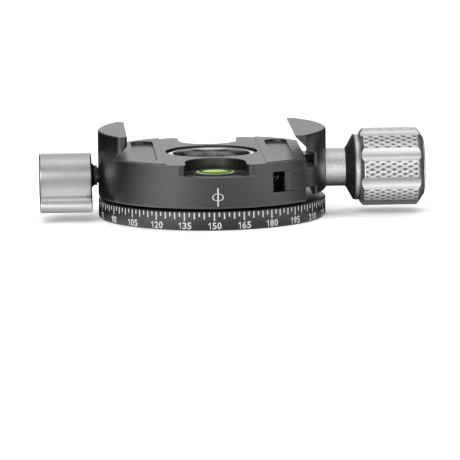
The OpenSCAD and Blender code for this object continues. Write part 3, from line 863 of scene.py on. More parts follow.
@dataclass
class BasePlate:
    """The base plate with its degree scale and tripod thread."""

    radius: float = 25.0
    height: float = 4.25
    edge: float = 0.3
    web: float = 1.8
    boss_radius: float = 6.3
    boss_top: float = 10.4
    hub_seat: float = 8.85
    thread: Thread = field(default_factory=lambda: Thread(1.5875, 4.8, 4.05, 0.7, 9.9, 48))
    lead_in: float = 0.45
    boss_edge: float = 0.15
    broken: float = 0.1
    sides: int = 360
    screws: HubScrews = field(default_factory=HubScrews)
    tick_top: float = 3.93
    tick_width: float = 0.29
    mark_deep: float = 0.06
    digit_low: float = 0.33
    digit_height: float = 1.5
    digit_width: float = 0.92
    digit_pitch: float = 1.07
    digit_weight: float = 0.052
    digit_half: float = 0.5
    capital: float = 0.73
    one_width: float = 0.52
    number_step: int = 15
    zero_at: float = -90.0 - 150.0 - 1.5

    def build(self) -> None:
        """Builds the plate, engraves it and fits it in."""
        plate = self.blank()
        BLACK.dress(plate)
        for turn in self.screws.turns:
            cut(plate, self.screws.seat(turn, self.web))
        break_edges(plate, self.broken, from_angle=40)
        plate.data.materials.append(BLACK_EDGE_WEAR_AND_SHEEN.material())
        cut(plate, self.scale())
        shade(plate, 28)
        fit_in(plate, "base", "black_anodised", "base_plate")
        ridge = shade(self.thread.ridge("tripod_thread_ridge", Lathe()), 60)
        fit_in(BLACK.dress(ridge), "base", "black_anodised")

    def blank(self) -> Piece:
        """Turns the plate with its boss in one piece."""
        bore = self.thread.root
        return Lathe(sides=self.sides).turn("engraved_base_plate", [
            (0.0, bore + self.lead_in), (self.lead_in, bore),
            (self.boss_top - self.lead_in, bore), (self.boss_top, bore + self.lead_in),
            (self.boss_top, self.boss_radius - self.boss_edge),
            (self.boss_top - self.boss_edge, self.boss_radius),
            (self.web, self.boss_radius), (self.web, self.hub_seat),
            (self.height, self.hub_seat), (self.height, self.radius - self.edge),
            (self.height - self.edge, self.radius), (self.edge, self.radius),
            (0.0, self.radius - self.edge),
        ])

    def scale(self) -> Piece:
        """Makes the cutter for all ticks and numbers."""
        step = Tick.SHORT.value[1]
        marks = [self.tick(number * step) for number in range(round(360 / step))]
        digits = {figure: self.digit(figure) for figure in "0123456789"}
        for value in range(0, 360, self.number_step):
            marks += self.number(value, digits)
        for digit in digits.values():
            bpy.data.objects.remove(digit)
        return MARKS.dress(join("scale_cutter", marks))

    def tick(self, value: float) -> Piece:
        """Makes one tick at a value of the scale."""
        length = next(tick.value[0] for tick in Tick if value % tick.value[1] == 0)
        half = self.tick_width / 2
        mark = block("tick", (self.radius - self.mark_deep, -half, self.tick_top - length),
                     (self.radius + PAST, half, self.tick_top))
        mark.data.transform(Matrix.Rotation(math.radians(self.zero_at + value), 4, "Z"))
        return mark

    def digit(self, figure: str) -> Piece:
        """Makes one figure as a thick plate, fitted to its cell, which stands upright at the rim."""
        deselect()
        bpy.ops.object.text_add()
        text = bpy.context.active_object.data
        text.body = figure
        text.size = self.digit_height / self.capital * MM
        text.offset = self.digit_weight * MM
        text.extrude = self.digit_half * MM
        text.resolution_u = 5
        bpy.ops.object.convert(target="MESH")
        digit = named(bpy.context.active_object, "figure")
        with editing(digit):
            bpy.ops.mesh.remove_doubles(threshold=SAME_SPOT)
            face_out()
        if figure == "1":
            bpy.data.objects.remove(digit)
            digit = self.one()
        else:
            # A block that lies clear of the figure: the cut only cleans the figure's crossed faces
            cut(digit, block("beside", (9.0, 9.0, 0.0), (9.5, 9.5, 0.5)), crossed=True)
        low, high = extent(digit)
        size = high - low
        width = (self.one_width if figure == "1" else self.digit_width) * MM
        fit = Matrix.Diagonal((width / size.x, self.digit_height * MM / size.y, 1, 1))
        digit.data.transform(fit @ Matrix.Translation((-low.x - size.x / 2, -low.y, 0)))
        stand = Matrix.Rotation(math.radians(90), 4, "Z") @ Matrix.Rotation(math.radians(90), 4, "X")
        out = Vector((self.radius - self.mark_deep + self.digit_half, 0, self.digit_low)) * MM
        digit.data.transform(Matrix.Translation(out) @ stand)
        return digit

    def one(self) -> Piece:
        """Makes the figure one, a stem with a flag, which the built-in letters have without it."""
        outline = [(0.36, 0.0), (0.36, 0.74), (0.0, 0.6), (0.0, 0.77), (0.28, 0.91), (0.42, 1.0),
                   (0.56, 1.0), (0.56, 0.0)]
        digit = wire("figure", [(x, y, -self.digit_half) for x, y in outline], closed=True)
        return extrude(digit, (0.0, 0.0, 2 * self.digit_half))

    def number(self, value: int, digits: dict[str, Piece]) -> list[Piece]:
        """Sets copies of the figures side by side round the rim at a value of the scale."""
        figures = str(value)
        pitch = math.degrees(self.digit_pitch / self.radius)
        first = self.zero_at + value - pitch * (len(figures) - 1) / 2
        return [turned_copy(digits[figure], first + pitch * place)
                for place, figure in enumerate(figures)]


@dataclass
class PanHub:
    """The bright hub that the clamp turns on."""

    bore: float = 6.35
    foot: float = 1.8
    radius: float = 8.8
    flange_radius: float = 9.75
    flange_under: float = 12.4
    top: float = 13.7
    rim: float = 1.45
    chamfer: float = 0.3
    floor: float = 10.7
    floor_radius: float = 7.2
    lip: float = 0.12
    hollow: float = 0.16
    broken: float = 0.06

    def build(self) -> None:
        """Builds the hub."""
        hub = Lathe(sides=160).turn("turned_pan_hub", [
            (self.foot, self.bore), (self.foot, self.radius), (self.flange_under, self.radius),
            (self.flange_under, self.flange_radius), (self.top - self.lip, self.flange_radius),
            (self.top, self.flange_radius - self.lip),
            (self.top, self.flange_radius - self.rim + self.chamfer), *self.wall(),
            (self.floor, self.bore),
        ])
        BRIGHT_HUB.dress(hub)
        break_edges(hub, self.broken, from_angle=40)
        under = self.top - self.chamfer
        # The bowl's wall takes the painted shade.
        refinish(hub, HUB_BOWL_PAINTED_SHADE, lambda place: self.floor < place.z < under
                 and place.xy.length < self.flange_radius - self.rim + 0.1)
        fit_in(shade(hub), "base", "bright_steel", "pan_hub")

    def wall(self) -> Profile:
        """Gives the bowl's wall, rounded over at its top and slightly hollow."""
        top_radius = self.flange_radius - self.rim
        start = self.top - self.chamfer
        points = [(start, top_radius)]
        for share in (0.25, 0.5, 0.75, 1.0):
            sag = self.hollow * math.sin(math.pi * share)
            points.append((start + share * (self.floor - start),
                           top_radius + share * (self.floor_radius - top_radius) + sag))
        return points


@dataclass
class ClampBody:
    """The clamp body with its index mark, jaw springs and slide parts."""

    radius: float = 25.0
    top: float = 19.25
    edge: float = 0.14
    mark_low: float = 5.3
    mark_high: float = 9.25
    mark_width: float = 0.31
    ring_width: float = 2.3
    ring_height: float = 1.5
    ring_line: float = 0.12
    ring_sunk: float = 0.02
    mark_deep: float = 0.06
    mark_past: float = 0.2
    mark_turn: float = 0.4
    spring_from: float = 9.35
    spring_to: float = 17.45
    spring_side: float = 13.0
    spring_height: float = 9.85
    spring_radius: float = 1.1
    spring_wire: float = 0.2
    curls: int = 8
    curl_steps: int = 28
    wire_sides: int = 14

    def build(self) -> None:
        """Builds the body and the springs, and dresses the nodes that stay."""
        body = machined_copy("clamp_body", "clamp_body_with_index", self.edge)
        cut(body, self.index_mark(), crossed=True)
        self.hold(body)
        fit_in(shade_machined(body), "clamp", "black_anodised", "clamp_body")
        for name, side in (("front", -1), ("rear", 1)):
            self.spring(name, side)
        dress_node("glide_ring", GLIDE)
        dress_node("flange_washer", GLIDE)
        dress_node("screw_bush", BRASS)

    def hold(self, body: Piece) -> None:
        """Draws back what the bevel pushed past the body's round or its top."""
        places = read_places(body)
        away = np.maximum(np.hypot(places[:, 0], places[:, 1]) / self.radius, 1.0)
        places[:, :2] /= away[:, None]
        places[:, 2] = np.minimum(places[:, 2], self.top)
        write_places(body, places)

    def index_mark(self) -> Piece:
        """Makes the cutter for the index: an upright line through an oval."""
        half = self.mark_width / 2
        line = block("index_line", (-half, -self.radius - self.mark_past, self.mark_low),
                     (half, -self.radius + self.mark_deep, self.mark_high))
        deselect()
        bpy.ops.mesh.primitive_torus_add(major_segments=64, minor_segments=12,
                                         major_radius=self.ring_width / 2 * MM,
                                         minor_radius=self.ring_line * MM)
        ring = named(bpy.context.active_object, "index_ring")
        ring.data.transform(Matrix.Diagonal((1, self.ring_height / self.ring_width, 1, 1)))
        middle = (0, (self.ring_sunk - self.radius) * MM, (self.mark_low + self.mark_high) / 2 * MM)
        stand = Matrix.Rotation(math.radians(90), 4, "X")
        ring.data.transform(Matrix.Translation(middle) @ stand)
        modify(line, "BOOLEAN", object=ring, operation="UNION", solver="EXACT")
        bpy.data.objects.remove(ring)
        line.data.transform(Matrix.Rotation(math.radians(self.mark_turn), 4, "Z"))
        return MARKS.dress(line)

    def spring(self, name: str, side: int) -> None:
        """Winds one jaw spring between its pockets."""
        deselect()
        first = self.spring_from + self.spring_wire
        bpy.ops.mesh.primitive_circle_add(vertices=self.wire_sides, radius=self.spring_wire * MM,
                                          location=(first * MM, 0, self.spring_radius * MM),
                                          rotation=(math.radians(90), 0, 0))
        coil = settle(named(bpy.context.active_object, f"{name}_jaw_spring"))
        length = self.spring_to - self.spring_from - 2 * self.spring_wire
        wind(coil, "X", length / self.curls, self.curls, self.curl_steps)
        place = (0, side * self.spring_side * MM, self.spring_height * MM)
        coil.data.transform(Matrix.Translation(place))
        SPRING_WIRE.dress(shade(coil, 60))
        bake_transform(coil)
        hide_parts(f"{name}_spring")
        log.info("%s: %d curls, between clamp and jaw", coil.name, self.curls)


@dataclass
class BubbleLevel:
    """The round level in the front pocket."""

    centre_y: float = -17.2
    radius: float = 5.55
    floor: float = 8.675
    top: float = 11.875
    window: float = 4.15
    bottom: float = 0.7
    lip: float = 0.2
    window_lip: float = 0.12
    target: float = 3.35
    target_line: float = 0.19
    target_rise: float = 0.08

    def build(self) -> None:
        """Builds the cup, fluid, target ring, bubble and window."""
        cup = Lathe(centre=(0.0, self.centre_y, 0.0), sides=96).turn("level_cup", [
            (self.floor, 0.0), (self.floor, self.radius), (self.top - self.lip, self.radius),
            (self.top, self.radius - self.lip), (self.top, self.window + self.window_lip),
            (self.top - self.window_lip, self.window),
            (self.floor + self.bottom, self.window), (self.floor + self.bottom, 0.0)], hollow=False)
        fit_in(shade(BLACK_PLASTIC.dress(cup)), "clamp", "black_plastic", "level_housing")
        deselect()
        middle = Vector((0.0, self.centre_y, self.top + self.target_rise)) * MM
        bpy.ops.mesh.primitive_torus_add(major_segments=96, minor_segments=10,
                                         major_radius=self.target * MM,
                                         minor_radius=self.target_line * MM, location=middle)
        target = settle(named(bpy.context.active_object, "level_target_ring"))
        fit_in(shade(DARK_LINE.dress(target), 60), "clamp", "black_plastic")
        dress_node("level_fluid", GREEN)
        dress_node("level_bubble", AIR)
        dress_node("level_window", GLASS)


@dataclass
class SlidingJaw:
    """The sliding jaw with its tongues."""

    edge: float = 0.14

    def build(self) -> None:
        """Builds the jaw with broken edges."""
        jaw = machined_copy("sliding_jaw", "sliding_dovetail_jaw", self.edge)
        fit_in(shade_machined(jaw), "jaw", "black_anodised", "sliding_jaw")


@dataclass
class ClampKnob:
    """The clamp knob: fluted and knurled grip, end cap, bright ring, cone, sleeve and screw."""

    height: float = 10.1
    screw_hole: float = 2.55
    sleeve_from: float = 24.85
    sleeve_radius: float = 4.2
    sleeve_edge: float = 0.1
    cone_from: float = 29.3
    cone_start: Place = (0.05, 0.45, 0.55)
    cone_edge: float = 0.2
    cone_slope_to: float = 0.35
    cone_radius: float = 7.25
    ring_from: float = 31.35
    ring_to: float = 32.3
    ring_radius: float = 7.3
    ring_edge: float = 0.2
    neck_radius: float = 6.4
    grip_from: float = 32.45
    grip_to: float = 46.45
    grip_radius: float = 8.5
    slope_in: float = 0.75
    slope_out: float = 1.45
    fall_in: float = 0.95
    bulge: float = 0.22
    cap_radius: float = 6.5
    cap_end: float = 46.75
    cap_seat: float = 45.45
    cap_edge: Stops = ((0.2, 0.0), (0.06, 0.12), (0.0, 0.4), (0.0, 1.1), (0.1, 1.25))
    cap_dish: float = 0.1
    spigot: float = 4.0
    play: float = 0.05
    flutes: int = 8
    flute_width: float = 3.0
    flute_radius: float = 2.2
    turned: float = -2.8
    knurl_pitch: float = 1.04
    knurl_lean: float = 25.6
    knurl_deep: float = 0.3
    knurl_rise: float = 0.06
    knurl_fade: float = 0.35
    land_deep: float = 0.3
    columns: int = 480
    step: float = 0.115
    slope_steps: int = 7
    fall_steps: int = 12
    screw_tip: float = 12.25
    screw_point: Place = (1.7, 0.4, 2.05)
    screw_step: float = 25.5
    screw_shank: float = 2.5
    thread: Thread = field(default_factory=lambda: Thread(0.8, 2.0, 2.49, 12.45, 25.4, 28))

    def build(self) -> None:
        """Builds the knob's pieces from the jaw outwards."""
        lathe = Lathe(Axis.ACROSS, (0.0, 0.0, self.height))
        self.sleeve(lathe)
        self.cone(lathe)
        self.ring(lathe)
        self.grip()
        self.cap(lathe)
        self.screw(lathe)

    def sleeve(self, lathe: Lathe) -> None:
        """Builds the plain sleeve."""
        last = self.cone_from
        sleeve = lathe.turn("knob_sleeve_blasted", [
            (self.sleeve_from, self.screw_hole),
            (self.sleeve_from, self.sleeve_radius - self.sleeve_edge),
            (self.sleeve_from + self.sleeve_edge, self.sleeve_radius), (last, self.sleeve_radius),
            (last, self.screw_hole)])
        fit_in(shade(SILVER_SLEEVE.dress(sleeve)), "clamp_handle", "silver_anodised", "knob_sleeve")

    def cone(self, lathe: Lathe) -> None:
        """Builds the black cone."""
        under, along, out = self.cone_start
        cone = lathe.turn("knob_black_cone", [
            (self.cone_from, self.screw_hole), (self.cone_from, self.sleeve_radius - under),
            (self.cone_from + along, self.sleeve_radius + out),
            (self.ring_from - self.cone_slope_to, self.cone_radius - self.cone_edge),
            (self.ring_from - self.cone_edge, self.cone_radius), (self.ring_from, self.cone_radius),
            (self.ring_from, self.screw_hole)])
        fit_in(shade(BLACK_GLOSS.dress(cone)), "clamp_handle", "black_plastic", "knob_cone")

    def ring(self, lathe: Lathe) -> None:
        """Builds the bright ring, rounded over both edges."""
        ring = lathe.turn("knob_bright_ring", [
            (self.ring_from, self.screw_hole), (self.ring_from, self.ring_radius),
            (self.ring_to, self.ring_radius), (self.ring_to, self.screw_hole)])
        break_edges(ring, self.ring_edge, rounds=4, from_angle=50)
        fit_in(shade(BRIGHT_RING.dress(ring), 40), "clamp_handle", "bright_steel", "knob_ring")

    def flute_floor(self, angle: np.ndarray) -> np.ndarray:
        """Finds the radius of the flutes' surface at angles round the knob.

        Args:
            angle: Angles in radians, counted from the middle of a land.

        Returns:
            The radius in millimetres, very large where there is no flute.
        """
        half = self.flute_width / 2
        axis = (math.sqrt(self.grip_radius ** 2 - half ** 2)
                + math.sqrt(self.flute_radius ** 2 - half ** 2))
        pitch = math.tau / self.flutes
        off = np.mod(angle, pitch) - pitch / 2
        inside = self.flute_radius ** 2 - (axis * np.sin(off)) ** 2
        floor = axis * np.cos(off) - np.sqrt(np.clip(inside, 0, None))
        return np.where(inside > 0, floor, 1e3)

    def knurl(self, angle: np.ndarray, station: np.ndarray) -> np.ndarray:
        """Finds the knurl's height, from 0 in its pits to 1 on its ridges.

        Args:
            angle: Angles in radians round the knob.
            station: Stations along it in millimetres.

        Returns:
            The heights.
        """
        lean = math.radians(self.knurl_lean)
        around = angle * self.grip_radius
        heights = []
        for side in (-1, 1):
            across = (around * math.cos(lean) + side * station * math.sin(lean)) / self.knurl_pitch
            heights.append(1 - np.abs(2 * np.mod(across, 1) - 1))
        return 1 - np.minimum(heights[0], heights[1])

    def grip(self) -> None:
        """Builds the grip: a turned blank whose skin is drawn in to flutes and knurling."""
        outer = self.cap_radius + self.play
        slope = [(self.grip_from + self.slope_in * t, self.grip_radius - self.fall_in * (1 - t))
                 for t in np.linspace(0, 1, self.slope_steps)]
        last = self.grip_to - self.slope_out
        count = round((last - self.grip_from - self.slope_in) / self.step)
        barrel = [(s, self.grip_radius)
                  for s in np.linspace(self.grip_from + self.slope_in, last, count + 1)[1:-1]]
        fall = [(last + self.slope_out * t,
                 self.grip_radius - (self.grip_radius - outer) * t + self.bulge * math.sin(math.pi * t))
                for t in np.linspace(0, 1, self.fall_steps)]
        lathe = Lathe(Axis.ACROSS, (0.0, 0.0, self.height), self.columns)
        grip = lathe.turn("knurled_clamp_knob", [
            (self.ring_to, self.screw_hole), (self.ring_to, self.neck_radius),
            (self.grip_from, self.neck_radius), *slope, *barrel, *fall,
            (self.grip_to, self.spigot + self.play), (self.cap_seat, self.spigot + self.play),
            (self.cap_seat, self.screw_hole)])
        self.draw_in(grip)
        KNURLED.dress(grip)
        grip.data.materials.append(SILVER.material())
        self.part_finishes(grip)
        fit_in(shade(grip, 24), "clamp_handle", "silver_anodised", "clamp_knob")

    def draw_in(self, grip: Piece) -> None:
        """Draws the blank's skin in to the flutes and the knurling, and notes the relief."""
        place = read_places(grip)
        around = place[:, 1:] - (0.0, self.height)
        radius = np.hypot(around[:, 0], around[:, 1])
        angle = np.arctan2(around[:, 1], -around[:, 0]) + math.radians(self.turned)
        skin = (radius > self.neck_radius + 0.1) & (place[:, 0] > self.grip_from - 0.01)
        floor = self.flute_floor(angle)
        fluted = skin & (floor < radius)
        land = skin & ~fluted & (radius > self.grip_radius - self.land_deep)
        inner, outer = self.grip_from + self.slope_in, self.grip_to - self.slope_out + self.knurl_fade
        ends = np.clip(np.minimum(place[:, 0] - inner, outer - place[:, 0]) / self.knurl_fade, 0, 1)
        height = self.knurl(angle, place[:, 0])
        depth = np.where(land, (self.knurl_deep * (1 - height) - self.knurl_rise) * ends, 0.0)
        wanted = np.where(fluted, floor, radius - depth)
        around *= np.where(skin, wanted / np.maximum(radius, 1e-9), 1.0)[:, None]
        place[:, 1:] = around + (0.0, self.height)
        write_places(grip, place)
        relief = np.where(land, 1 - (1 - height) * ends, 1.0)
        for name, values in (("relief", relief), ("land", land & (ends > 0))):
            noted = grip.data.attributes.new(name, "FLOAT", "POINT")
            noted.data.foreach_set("value", values.astype(np.float32))

    def part_finishes(self, grip: Piece) -> None:
        """Gives the faces off the knurled lands the blasted finish."""
        land = np.empty(len(grip.data.vertices), np.float32)
        grip.data.attributes["land"].data.foreach_get("value", land)
        slots = [0 if all(land[v] > 0.5 for v in face.vertices) else 1 for face in grip.data.polygons]
        grip.data.polygons.foreach_set("material_index", slots)

    def cap(self, lathe: Lathe) -> None:
        """Builds the end cap with its spigot, its face slightly dished."""
        end, rim = self.cap_end, self.cap_radius
        cap = lathe.turn("knob_end_cap", [
            (self.cap_seat + self.play, 0.0), (self.cap_seat + self.play, self.spigot),
            (self.grip_to, self.spigot), (self.grip_to, rim),
            *((end - down, rim - inward) for down, inward in self.cap_edge),
            (end - self.cap_dish, 0.0)], hollow=False)
        fit_in(shade(SILVER.dress(cap)), "clamp_handle", "silver_anodised", "knob_cap")

    def screw(self, lathe: Lathe) -> None:
        """Builds the clamp screw with its thread."""
        point, taper, core = self.screw_point
        screw = self.thread.screw("clamp_screw_threaded", lathe, [
            (self.screw_tip, 0.0), (self.screw_tip, point), (self.screw_tip + taper, core),
            (self.screw_step, core), (self.screw_step, self.screw_shank),
            (self.cap_seat, self.screw_shank), (self.cap_seat, 0.0)])
        fit_in(shade(STEEL_SCREW.dress(screw)), "clamp_handle", "bright_steel", "clamp_screw")


@dataclass
class PanLock:
    """The pan lock: paddle knob, black collar, screw and brake shoe."""

    height: float = 9.2
    inner: float = 26.5
    length: float = 11.5
    hub_radius: float = 5.0
    lobe_at: float = 9.8
    lobe_radius: float = 1.75
    neck_radius: float = 1.45
    hollow_radius: float = 7.0
    turn: float = 57.0
    edge: float = 0.4
    collar_from: float = 25.25
    collar_radius: float = 2.8
    collar_tip: float = 2.2
    collar_neck: float = 0.65
    collar_bore: float = 2.05
    sides: int = 64
    screw_tail: float = -35.5
    screw_shank: float = 2.0
    screw_step: float = -25.3
    screw_tip: float = -12.86
    screw_point: Place = (1.65, 0.3, 1.4)
    thread: Thread = field(default_factory=lambda: Thread(0.7, 1.6, 1.99, -25.2, -12.96, 24))

    def build(self) -> None:
        """Builds the lock's pieces and dresses the shoe."""
        lathe = Lathe(Axis.ACROSS, (0.0, 0.0, self.height), self.sides)
        self.paddle()
        self.collar(lathe)
        self.screw(lathe)
        dress_node("brake_shoe", BRASS)

    def outline(self) -> list[tuple[float, float]]:
        """Gives the paddle's outline: hub, hollow, beaded end and hollow again.

        Returns:
            Points (along the paddle, across it), counted round from the hub's back.
        """
        far = self.hollow_radius + self.hub_radius
        near = self.hollow_radius + self.neck_radius
        along = (far ** 2 - near ** 2 + self.lobe_at ** 2) / (2 * self.lobe_at)
        across = math.sqrt(far ** 2 - along ** 2)
        hub_end = math.atan2(across, along)
        neck_at = math.atan2(across, along - self.lobe_at)
        points = [(self.hub_radius * math.cos(a), self.hub_radius * math.sin(a))
                  for a in np.linspace(math.pi, hub_end, 30)]
        first = math.atan2(-across, -along)
        last = math.atan2(-across, self.lobe_at - along)
        reach = self.meeting(along, across, first, last)
        points += [(along + self.hollow_radius * math.cos(a), across + self.hollow_radius * math.sin(a))
                   for a in np.linspace(first, reach, 16)[1:]]
        x, y = points[-1]
        lobe_first = math.atan2(y, x - self.lobe_at)
        points += [(self.lobe_at + self.lobe_radius * math.cos(a), self.lobe_radius * math.sin(a))
                   for a in np.linspace(lobe_first, 0, 16)[1:]]
        return points + [(x, -y) for x, y in points[-2:0:-1]]

    def meeting(self, along: float, across: float, first: float, last: float) -> float:
        """Finds the angle at which the hollow runs into the beaded end."""
        for angle in np.linspace(first, last, 400):
            x = along + self.hollow_radius * math.cos(angle) - self.lobe_at
            y = across + self.hollow_radius * math.sin(angle)
            if math.hypot(x, y) <= self.lobe_radius:
                return float(angle)
        return last

    def paddle(self) -> None:
        """Extrudes the paddle from its outline and breaks its edges."""
        turn = math.radians(self.turn)
        down = Vector((-math.sin(turn), -math.cos(turn)))
        side = Vector((-math.cos(turn), math.sin(turn)))
        points = []
        for along, across in self.outline():
            y, z = down * along + side * across
            points.append((-self.inner, y, self.height + z))
        paddle = extrude(wire("lock_paddle_knob", points, closed=True), (-self.length, 0.0, 0.0))
        SILVER_LOCK.dress(paddle)
        # The broken edges get the paler finish, partly a painted highlight.
        paddle.data.materials.append(SILVER_EDGE_POLISH_AND_SHEEN.material())
        modify(paddle, "BEVEL", width=self.edge * MM, segments=3, limit_method="ANGLE",
               angle_limit=math.radians(50), material=1)
        fit_in(shade(paddle, 35), "lock_handle", "silver_anodised", "lock_knob")

    def collar(self, lathe: Lathe) -> None:
        """Builds the black collar."""
        collar = lathe.turn("lock_black_collar", [
            (-self.collar_from, self.collar_bore), (-self.collar_from, self.collar_tip),
            (-self.collar_from - self.collar_neck, self.collar_tip), (-self.inner, self.collar_radius),
            (-self.inner, self.collar_bore)])
        fit_in(shade(BLACK_PLASTIC.dress(collar)), "lock_handle", "black_plastic", "lock_collar")

    def screw(self, lathe: Lathe) -> None:
        """Builds the lock screw with its thread."""
        core, taper, point = self.screw_point
        screw = self.thread.screw("lock_screw_threaded", lathe, [
            (self.screw_tail, 0.0), (self.screw_tail, self.screw_shank),
            (self.screw_step, self.screw_shank), (self.screw_step, core),
            (self.screw_tip - taper, core), (self.screw_tip, point), (self.screw_tip, 0.0)])
        fit_in(shade(BLACK_SCREW.dress(screw)), "lock_handle", "bright_steel", "lock_screw")


# Studio


# Brightness that is mirrored from round the head, by degrees from the front, counted to the right
HORIZON = ((-180, 1.1), (-174, 0.95), (-165, 0.02), (-105, 0.0), (-90, 0.1), (-76, 0.6), (-60, 1.4),
           (-42, 2.0), (-26, 1.6), (-8, 0.95), (8, 0.85), (30, 1.1), (52, 1.4), (70, 1.1), (88, 0.12),
           (112, 0.0), (130, 0.12), (150, 0.02), (165, 0.02), (174, 0.95), (180, 1.1))


@dataclass
class PhotoCamera:
    """The photograph's camera: its angles in degrees, and where in the picture the head lies."""

    azimuth: float = -2.567
    elevation: float = 7.715
    roll: float = 0.6855
    distance: float = 1046.87
    pixels_per_mm: float = 4.53689
    picture: int = 460
    target: Place = (0.0, 0.0, 9.0)
    target_seen_at: tuple[float, float] = (211.72, 173.98)

    def build(self) -> None:
        """Sets up the camera and makes it the scene's."""
        data = bpy.data.cameras.new("photo_camera")
        data.sensor_width = 36.0
        data.lens = self.pixels_per_mm * self.distance * data.sensor_width / self.picture
        camera = bpy.data.objects.new("photo_camera", data)
        bpy.context.scene.collection.objects.link(camera)
        a, e, r = (math.radians(x) for x in (self.azimuth, self.elevation, self.roll))
        back = Vector((math.sin(a) * math.cos(e), -math.cos(a) * math.cos(e), math.sin(e)))
        level = Vector((math.cos(a), math.sin(a), 0.0))
        up = back.cross(level)
        right = level * math.cos(r) - up * math.sin(r)
        up = level * math.sin(r) + up * math.cos(r)
        target = Vector(self.target)
        place = target + back * self.distance
        seen_x, seen_y = self.target_seen_at
        middle = self.picture / 2
        aim = (target + right * ((middle - seen_x) / self.pixels_per_mm)
               - up * ((middle - seen_y) / self.pixels_per_mm))
        back = (place - aim).normalized()
        right = (right - back * right.dot(back)).normalized()
        up = back.cross(right)
        turn = Matrix((right, up, back)).transposed().to_4x4()
        camera.matrix_world = Matrix.Translation(place * MM) @ turn
        bpy.context.scene.camera = camera


@dataclass(frozen=True)
class Softbox:
    """A soft area lamp, aimed at the head. It isn't seen in reflections, where the world's glow is."""

    name: str
    place: Place
    size: tuple[float, float]
    watts: float
    aimed_at: Place = (0.0, 0.0, 10.0)

    def build(self) -> None:
        """Sets the lamp up."""
        data = bpy.data.lights.new(self.name, "AREA")
        data.shape = "RECTANGLE"
        data.size, data.size_y = (s * MM for s in self.size)
        data.energy = self.watts
        lamp = bpy.data.objects.new(self.name, data)
        bpy.context.scene.collection.objects.link(lamp)
        lamp.location = Vector(self.place) * MM
        aim = Vector(self.aimed_at) - Vector(self.place)
        lamp.rotation_euler = aim.to_track_quat("-Z", "Y").to_euler()
        lamp.visible_glossy = False


class WorldGraph(Graph):
    """The nodes of the world."""

    def __init__(self) -> None:
        """Starts an empty world."""
        world = bpy.data.worlds.new("studio")
        bpy.context.scene.world = world
        world.use_nodes = True
        world.cycles.sampling_method = "NONE"
        self.tree = world.node_tree
        self.tree.nodes.clear()

    def close(self, surface: Socket) -> None:
        """Ends the world with its surface."""
        self.add("OutputWorld", {"Surface": surface})


@dataclass
class Surroundings:
    """The world: white to the camera, soft boxes and darker sides in reflections, plain otherwise.

    The crown is the brightness overhead, by how far a direction leans to the back. The sides are
    the share of it that is left by how far the direction leans to the left or right.
    """

    plain: float = 0.45
    crown: Stops = (
        (-1.0, 0.62), (-0.93, 0.55), (-0.77, 0.48), (-0.5, 0.66), (-0.17, 1.0), (0.09, 0.9), (0.4, 0.65),
        (0.8, 0.6), (1.0, 0.7))
    sides: Stops = (
        (-1.0, 0.5), (-0.7, 0.45), (-0.5, 0.08), (-0.25, 1.0), (0.25, 1.0), (0.5, 0.08), (0.7, 0.45),
        (1.0, 0.5))
    crown_from: float = 0.2
    crown_to: float = 0.55

    def build(self) -> None:
        """Makes the world."""
        graph = WorldGraph()
        place = graph.add("TexCoord").outputs["Generated"]
        x, y, z = graph.add("SeparateXYZ", {0: place}).outputs
        horizon = graph.horizon(place, HORIZON)
        crown = graph.scalar("MULTIPLY", graph.lean(y, self.crown), graph.lean(x, self.sides))
        rise = graph.level(z, 0.0, 1.0, self.crown_from, self.crown_to)
        glow = graph.add("Mix", {"Factor": rise, 2: horizon, 3: crown}, data_type="FLOAT").outputs[0]
        dim, shine, white = (
            graph.add("Background", {"Color": (1, 1, 1, 1), "Strength": strength}).outputs[0]
            for strength in (self.plain, glow, 1.0))
        unseen = graph.add("MixShader", {0: graph.mirrored(), 1: dim, 2: shine}).outputs[0]
        graph.close(graph.add("MixShader", {0: graph.seen(), 1: unseen, 2: white}).outputs[0])


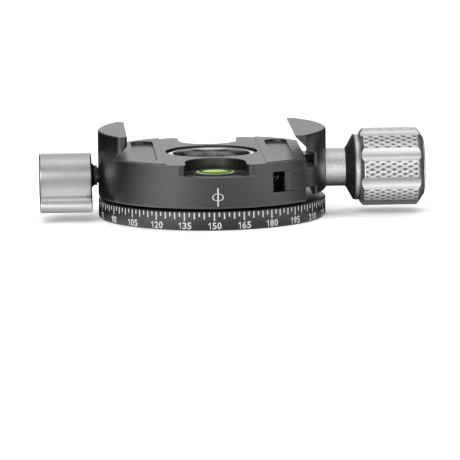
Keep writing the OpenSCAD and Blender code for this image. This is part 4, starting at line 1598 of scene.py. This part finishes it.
@dataclass
class Floor:
    """The pale floor: white to the camera with the head's shadow, and a painted shadow under it in
    reflections.
    """

    size: float = 6.0
    colour: Colour = (0.8, 0.8, 0.8)
    lift: float = 0.3
    shade_at: float = 8.0
    shade_width: float = 60.0
    shade_length: float = 65.0
    darkest: float = 0.12

    def build(self) -> None:
        """Lays the floor."""
        deselect()
        bpy.ops.mesh.primitive_plane_add(size=self.size)
        floor = named(bpy.context.active_object, "studio_floor")
        graph = Graph("studio_floor")
        matt = graph.add("BsdfDiffuse", {"Color": (*self.colour, 1.0)}).outputs[0]
        lift = graph.add("Emission", {"Strength": self.lift}).outputs[0]
        lifted = graph.add("AddShader", {0: matt, 1: lift}).outputs[0]
        plain = graph.add("MixShader", {0: graph.seen(), 1: matt, 2: lifted}).outputs[0]
        # A painted shadow: the floor's reflections are darkened round a spot under the head.
        moved = graph.vector("SUBTRACT", graph.place(), (self.shade_at * MM, 0.0, 0.0))
        spread = (1 / (self.shade_length * MM), 1 / (self.shade_width * MM), 0.0)
        away = graph.vector("LENGTH", graph.vector("MULTIPLY", moved, spread))
        glow = graph.scalar("MULTIPLY", graph.horizon(graph.place(), HORIZON),
                            graph.level(away, self.darkest, 1.0, 0.0, 1.0))
        shine = graph.add("Emission", {"Strength": glow}).outputs[0]
        surface = graph.close(graph.add("MixShader", {
            0: graph.mirrored(), 1: plain, 2: shine}).outputs[0])
        surface.cycles.emission_sampling = "NONE"
        floor.data.materials.append(surface)


@dataclass
class Studio:
    """The floor, the surroundings and the lamps."""

    surroundings: Surroundings = field(default_factory=Surroundings)
    floor: Floor = field(default_factory=Floor)
    lamps: tuple[Softbox, ...] = (
        Softbox("key", (-420.0, -620.0, 800.0), (700.0, 700.0), 6.5),
        Softbox("top", (120.0, 260.0, 900.0), (900.0, 600.0), 6.0),
    )

    def build(self) -> None:
        """Sets up everything round the head."""
        self.surroundings.build()
        self.floor.build()
        for lamp in self.lamps:
            lamp.build()


def main() -> None:
    """Builds the camera, the studio and every sub-assembly of the head."""
    logging.basicConfig(level=logging.INFO, format="%(message)s")
    bpy.context.scene.view_settings.view_transform = "Standard"
    for part in (PhotoCamera(), Studio(), BasePlate(), PanHub(), HubScrews(), ClampBody(),
                 BubbleLevel(), SlidingJaw(), ClampKnob(), PanLock()):
        part.build()
        log.info("%s is built", type(part).__name__)


if __name__ == "__main__":
    main()
